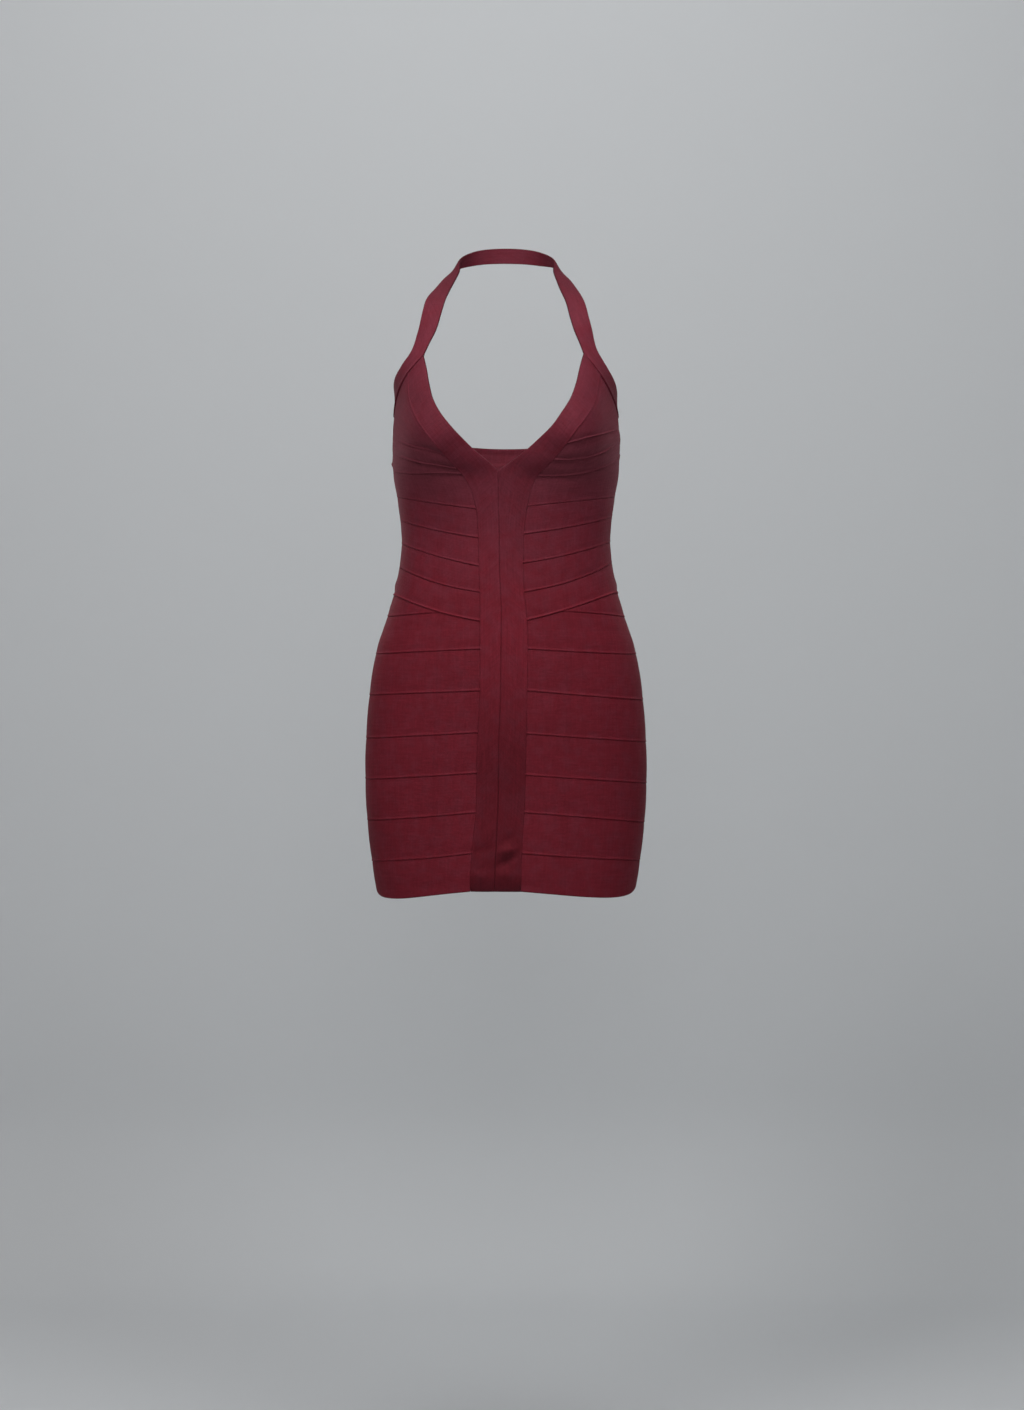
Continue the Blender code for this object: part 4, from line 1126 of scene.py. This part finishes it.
def halter_band():
    """The band round both armholes and the nape."""
    shares = spaced(HALTER_WIDTH, EDGE_ROWS[:-1], EDGE_ROWS[:-1], HALTER_MIDDLE) / HALTER_WIDTH
    armholes, halves = {}, {}
    for side in (RIGHT, LEFT):
        armhole = halter_on_form(side, shares)
        half = np.concatenate((armhole, strap_points(side, armhole[-1], shares)))
        armholes[side] = armhole
        halves[side] = eased_at_tip(half, len(armhole) - 1, shares)
    points = np.concatenate((halves[RIGHT], halves[LEFT][-2::-1]))
    along = run_lengths(points, 0)
    across = run_lengths(points, 1)
    normals = unit(np.cross(np.gradient(points, axis=1), np.gradient(points, axis=0)))
    at_nape = len(points) // 2
    normals = normals * np.sign(normals[at_nape, 0, 1])
    from_outer = across[:, -1:] - across
    from_end = np.minimum(along, along[-1:] - along)
    tip_run = run_lengths(armholes[RIGHT], 0)[-1].max()
    strap = eased(from_end, tip_run + STRAP_FROM, tip_run + STRAP_TO)
    seams = profile(STITCHED_ON, across) * (1 - strap) + profile(FOLDED, across) * strap
    seams += profile(FOLDED, from_outer) + profile(GROOVE, from_end)
    crown = CROWN + (STRAP_CROWN - CROWN) * strap
    relief = body_relief(points) * (1 - strap)
    outer = points + normals * (seams + bulged(across, crown, axis=1) + relief)[..., None]
    inner = inner_of(points, normals, allowance_at(across) * (1 - strap), relief)
    rounding = np.full(seams.shape, FOLDED_RIM)
    rounding[:, 0] = SEWN_RIM + FOLDED_RIM * strap[:, 0]
    rounding[(0, -1), :] = SEWN_RIM
    uv = np.stack((along, across), axis=-1)
    # painted shade and highlight along the halter band
    halter_painted_shades = [interpolated(HALTER_PAINTED_SHADE, SIDE_NAMES[side], points[..., 2]) for side in (RIGHT, LEFT)]
    tone = seam_shade_and_highlight(seams) * np.where(points[..., 0] < 0, *halter_painted_shades)
    made = closed_cloth("knit_halter_band", outer, inner, rounding, uv, tone)
    return finished(made, "halter_band", "halter_knit")


# ---- finish ----


def node_adder(tree):
    """A function that adds a node to a tree, with its settings, and its inputs as values or links."""

    def add(kind, inputs=None, **settings):
        node = tree.nodes.new(kind)
        for name, value in settings.items():
            setattr(node, name, value)
        for key, value in (inputs or {}).items():
            if isinstance(value, bpy.types.NodeSocket):
                tree.links.new(value, node.inputs[key])
            else:
                node.inputs[key].default_value = value
        return node

    return add


def knit_material(slot):
    """Matt stretch knit: fine courses along the band, faint wales, streaks, and a soft sheen; its colour
    carries painted shade, highlight and sheen.
    """
    name = "fine_" + slot
    if name in bpy.data.materials:
        return bpy.data.materials[name]
    material = bpy.data.materials.new(name)
    material.use_nodes = True
    shader = material.node_tree.nodes["Principled BSDF"]
    add = node_adder(material.node_tree)

    def calculated(operation, first, second=0.0):
        return add("ShaderNodeMath", {0: first, 1: second}, operation=operation).outputs[0]

    def ranged(value, low, high, to_low, to_high):
        fields = {"Value": value, "From Min": low, "From Max": high, "To Min": to_low, "To Max": to_high}
        return add("ShaderNodeMapRange", fields).outputs["Result"]

    def noise(vector, kind):
        vector = add("ShaderNodeMapping", {"Vector": vector, "Scale": kind.scale}).outputs["Vector"]
        fields = {"Vector": vector, "Scale": 1.0, "Detail": kind.detail, "Roughness": NOISE_ROUGHNESS}
        return add("ShaderNodeTexNoise", fields).outputs["Fac"]

    def wave(distance, pitch):
        return calculated("SINE", calculated("MULTIPLY", distance, 2 * math.pi / pitch))

    def mixed(share, first, second):
        # a Mix node has its colours in sockets 6 and 7 and gives theirs in 2
        return add("ShaderNodeMix", {"Factor": share, 6: first, 7: second}, data_type="RGBA").outputs[2]

    uv = add("ShaderNodeUVMap", uv_map="Knit").outputs["UV"]
    along_and_across = add("ShaderNodeSeparateXYZ", {"Vector": uv}).outputs
    place = add("ShaderNodeTexCoord").outputs["Object"]
    up = add("ShaderNodeSeparateXYZ", {"Vector": place}).outputs["Z"]
    values = {
        "streak": noise(uv, STREAK),
        "cross_streak": noise(uv, CROSS_STREAK),
        "grain": noise(place, GRAIN),
        "mottle": noise(place, MOTTLE),
        "course": wave(along_and_across["Y"], COURSE_PITCH),
        "wale": wave(along_and_across["X"], WALE_PITCH),
    }

    # painted shade and highlight from the tone attribute, the yarn's tone lighter or darker from place to
    # place, and height of the loops
    tone = add("ShaderNodeAttribute", attribute_name="tone").outputs["Fac"]
    height = 0.0
    for key, (low, high, spread, share) in PATTERNS.items():
        if spread:
            tone = calculated("MULTIPLY", tone, ranged(values[key], low, high, 1 - spread, 1 + spread))
        height = calculated("ADD", height, calculated("MULTIPLY", values[key], share))

    # the greyer hue: random patches, and painted sheen from the waist up
    painted_sheen_share = ranged(up, PAINTED_SHEEN_FROM, PAINTED_SHEEN_FULL, SHEEN_GREY_BELOW, SHEEN_GREY_ABOVE)
    blotch = ranged(noise(place, BLOTCH), *BLOTCH_RANGE, -GREY_SPREAD, GREY_SPREAD)
    hue = mixed(calculated("ADD", painted_sheen_share, blotch), (*KNIT, 1.0), (*KNIT_GREY_PATCHES_AND_SHEEN, 1.0))
    # painted shade colour: greyer beside the ruched seams, where the bust's shade falls
    if slot == "side_knit":
        start, full, last, end = BUST_SHADE_SPAN
        beside = calculated("MINIMUM", ranged(up, start, full, 0.0, 1.0), ranged(up, end, last, 0.0, 1.0))
        hue = mixed(beside, hue, (*KNIT_GREY_PAINTED_IN_SHADE, 1.0))
    colour = add("ShaderNodeVectorMath", {0: hue, "Scale": tone}, operation="SCALE").outputs["Vector"]
    material.node_tree.links.new(colour, shader.inputs["Base Color"])
    loops = {"Height": height, "Strength": BUMP_STRENGTH, "Distance": BUMP_DEPTH}
    bump = add("ShaderNodeBump", loops).outputs["Normal"]
    material.node_tree.links.new(bump, shader.inputs["Normal"])
    for field, value in SHADER.items():
        shader.inputs[field].default_value = value
    return material


# ---- room, light and camera ----


def studio_material():
    """Plain grey that fades out far from the dress, and lets a view from behind look through it."""
    material = bpy.data.materials.new("studio_grey")
    material.use_nodes = True
    nodes = material.node_tree.nodes
    add = node_adder(material.node_tree)
    shader = nodes["Principled BSDF"]
    shader.inputs["Base Color"].default_value = STUDIO_GREY
    shader.inputs["Roughness"].default_value = STUDIO_ROUGHNESS
    place = add("ShaderNodeTexCoord").outputs["Object"]
    away = add("ShaderNodeVectorMath", {0: place}, operation="LENGTH").outputs["Value"]
    span = {"Value": away, "From Min": FADE_FROM, "From Max": FADE_TO}
    fade = add("ShaderNodeMapRange", span, interpolation_type="SMOOTHSTEP").outputs["Result"]
    behind = add("ShaderNodeNewGeometry").outputs["Backfacing"]
    missing = add("ShaderNodeMath", {0: fade, 1: behind}, operation="MAXIMUM").outputs["Value"]
    clear = add("ShaderNodeBsdfTransparent").outputs["BSDF"]
    surface = add("ShaderNodeMixShader", {0: missing, 1: shader.outputs["BSDF"], 2: clear})
    material.node_tree.links.new(surface.outputs["Shader"], nodes["Material Output"].inputs["Surface"])
    return material


def select_edge(piece, place):
    """Selects the edge of a piece whose middle is at a place, and nothing else, in edit mode."""
    bpy.ops.object.mode_set(mode="OBJECT")
    mesh = piece.data
    for element in (*mesh.vertices, *mesh.edges, *mesh.polygons):
        element.select = False
    for edge in mesh.edges:
        ends = [mesh.vertices[index] for index in edge.vertices]
        if ((ends[0].co + ends[1].co) / 2 - Vector(place)).length < MM:
            for element in (edge, *ends):
                element.select = True
    bpy.ops.object.mode_set(mode="EDIT")


def room():
    """A pale floor that curves up into a plain wall."""
    bpy.ops.object.select_all(action="DESELECT")
    bpy.ops.mesh.primitive_plane_add(size=1.0, location=(0.0, (FLOOR_FRONT + WALL_Y) / 2, FLOOR_Z))
    sweep = bpy.context.object
    sweep.name = "studio_sweep"
    sweep.scale = (ROOM_WIDTH, WALL_Y - FLOOR_FRONT, 1.0)
    bpy.ops.object.transform_apply()
    corner = (0.0, WALL_Y, FLOOR_Z)
    select_edge(sweep, corner)
    bpy.ops.mesh.extrude_region_move(TRANSFORM_OT_translate={"value": (0.0, 0.0, WALL_TOP - FLOOR_Z)})
    select_edge(sweep, corner)
    bpy.ops.mesh.bevel(offset=ROOM_BEND, segments=BEND_STEPS, affect="EDGES")
    bpy.ops.object.mode_set(mode="OBJECT")
    bpy.ops.object.shade_smooth()
    sweep.data.materials.append(studio_material())
    sweep.select_set(False)


def lights():
    """Soft studio lamps above, in front and behind, the strongest in front at the wearer's right."""
    for lamp in LAMPS:
        light = bpy.data.lights.new(lamp.name, "AREA")
        light.shape = "DISK"
        light.size = lamp.size
        light.energy = lamp.watts
        light.color = lamp.colour
        holder = bpy.data.objects.new(lamp.name, light)
        holder.location = lamp.at
        holder.rotation_euler = (Vector(lamp.aim) - Vector(lamp.at)).to_track_quat("-Z", "Y").to_euler()
        holder.visible_camera = False
        bpy.context.collection.objects.link(holder)


def surroundings():
    """A faint even light from all round, and a plain grey where the camera looks past the studio."""
    world = bpy.data.worlds.new("studio")
    world.use_nodes = True
    nodes = world.node_tree.nodes
    add = node_adder(world.node_tree)
    faint = nodes["Background"]
    faint.inputs["Color"].default_value = FAINT_SKY
    faint.inputs["Strength"].default_value = SKY_STRENGTH
    seen = add("ShaderNodeBackground", {"Color": FAR_GREY})
    looked_at = add("ShaderNodeLightPath").outputs["Is Camera Ray"]
    sources = {0: looked_at, 1: faint.outputs["Background"], 2: seen.outputs["Background"]}
    either = add("ShaderNodeMixShader", sources)
    world.node_tree.links.new(either.outputs["Shader"], nodes["World Output"].inputs["Surface"])
    bpy.context.scene.world = world


def camera():
    """Level with the dress's middle, straight in front."""
    data = bpy.data.cameras.new("camera")
    data.lens = LENS_MM
    data.sensor_width = SENSOR_MM
    holder = bpy.data.objects.new("camera", data)
    holder.location = (CAMERA_X, CAMERA_Y, CAMERA_Z)
    holder.rotation_euler = (math.radians(90.0), 0.0, 0.0)
    bpy.context.collection.objects.link(holder)
    bpy.context.scene.camera = holder


for wearer_side in (RIGHT, LEFT):
    side_panel(wearer_side)
    centre_band(wearer_side)
halter_band()
back_panel()
room()
lights()
surroundings()
camera()
bpy.context.scene.view_settings.view_transform = "Standard"
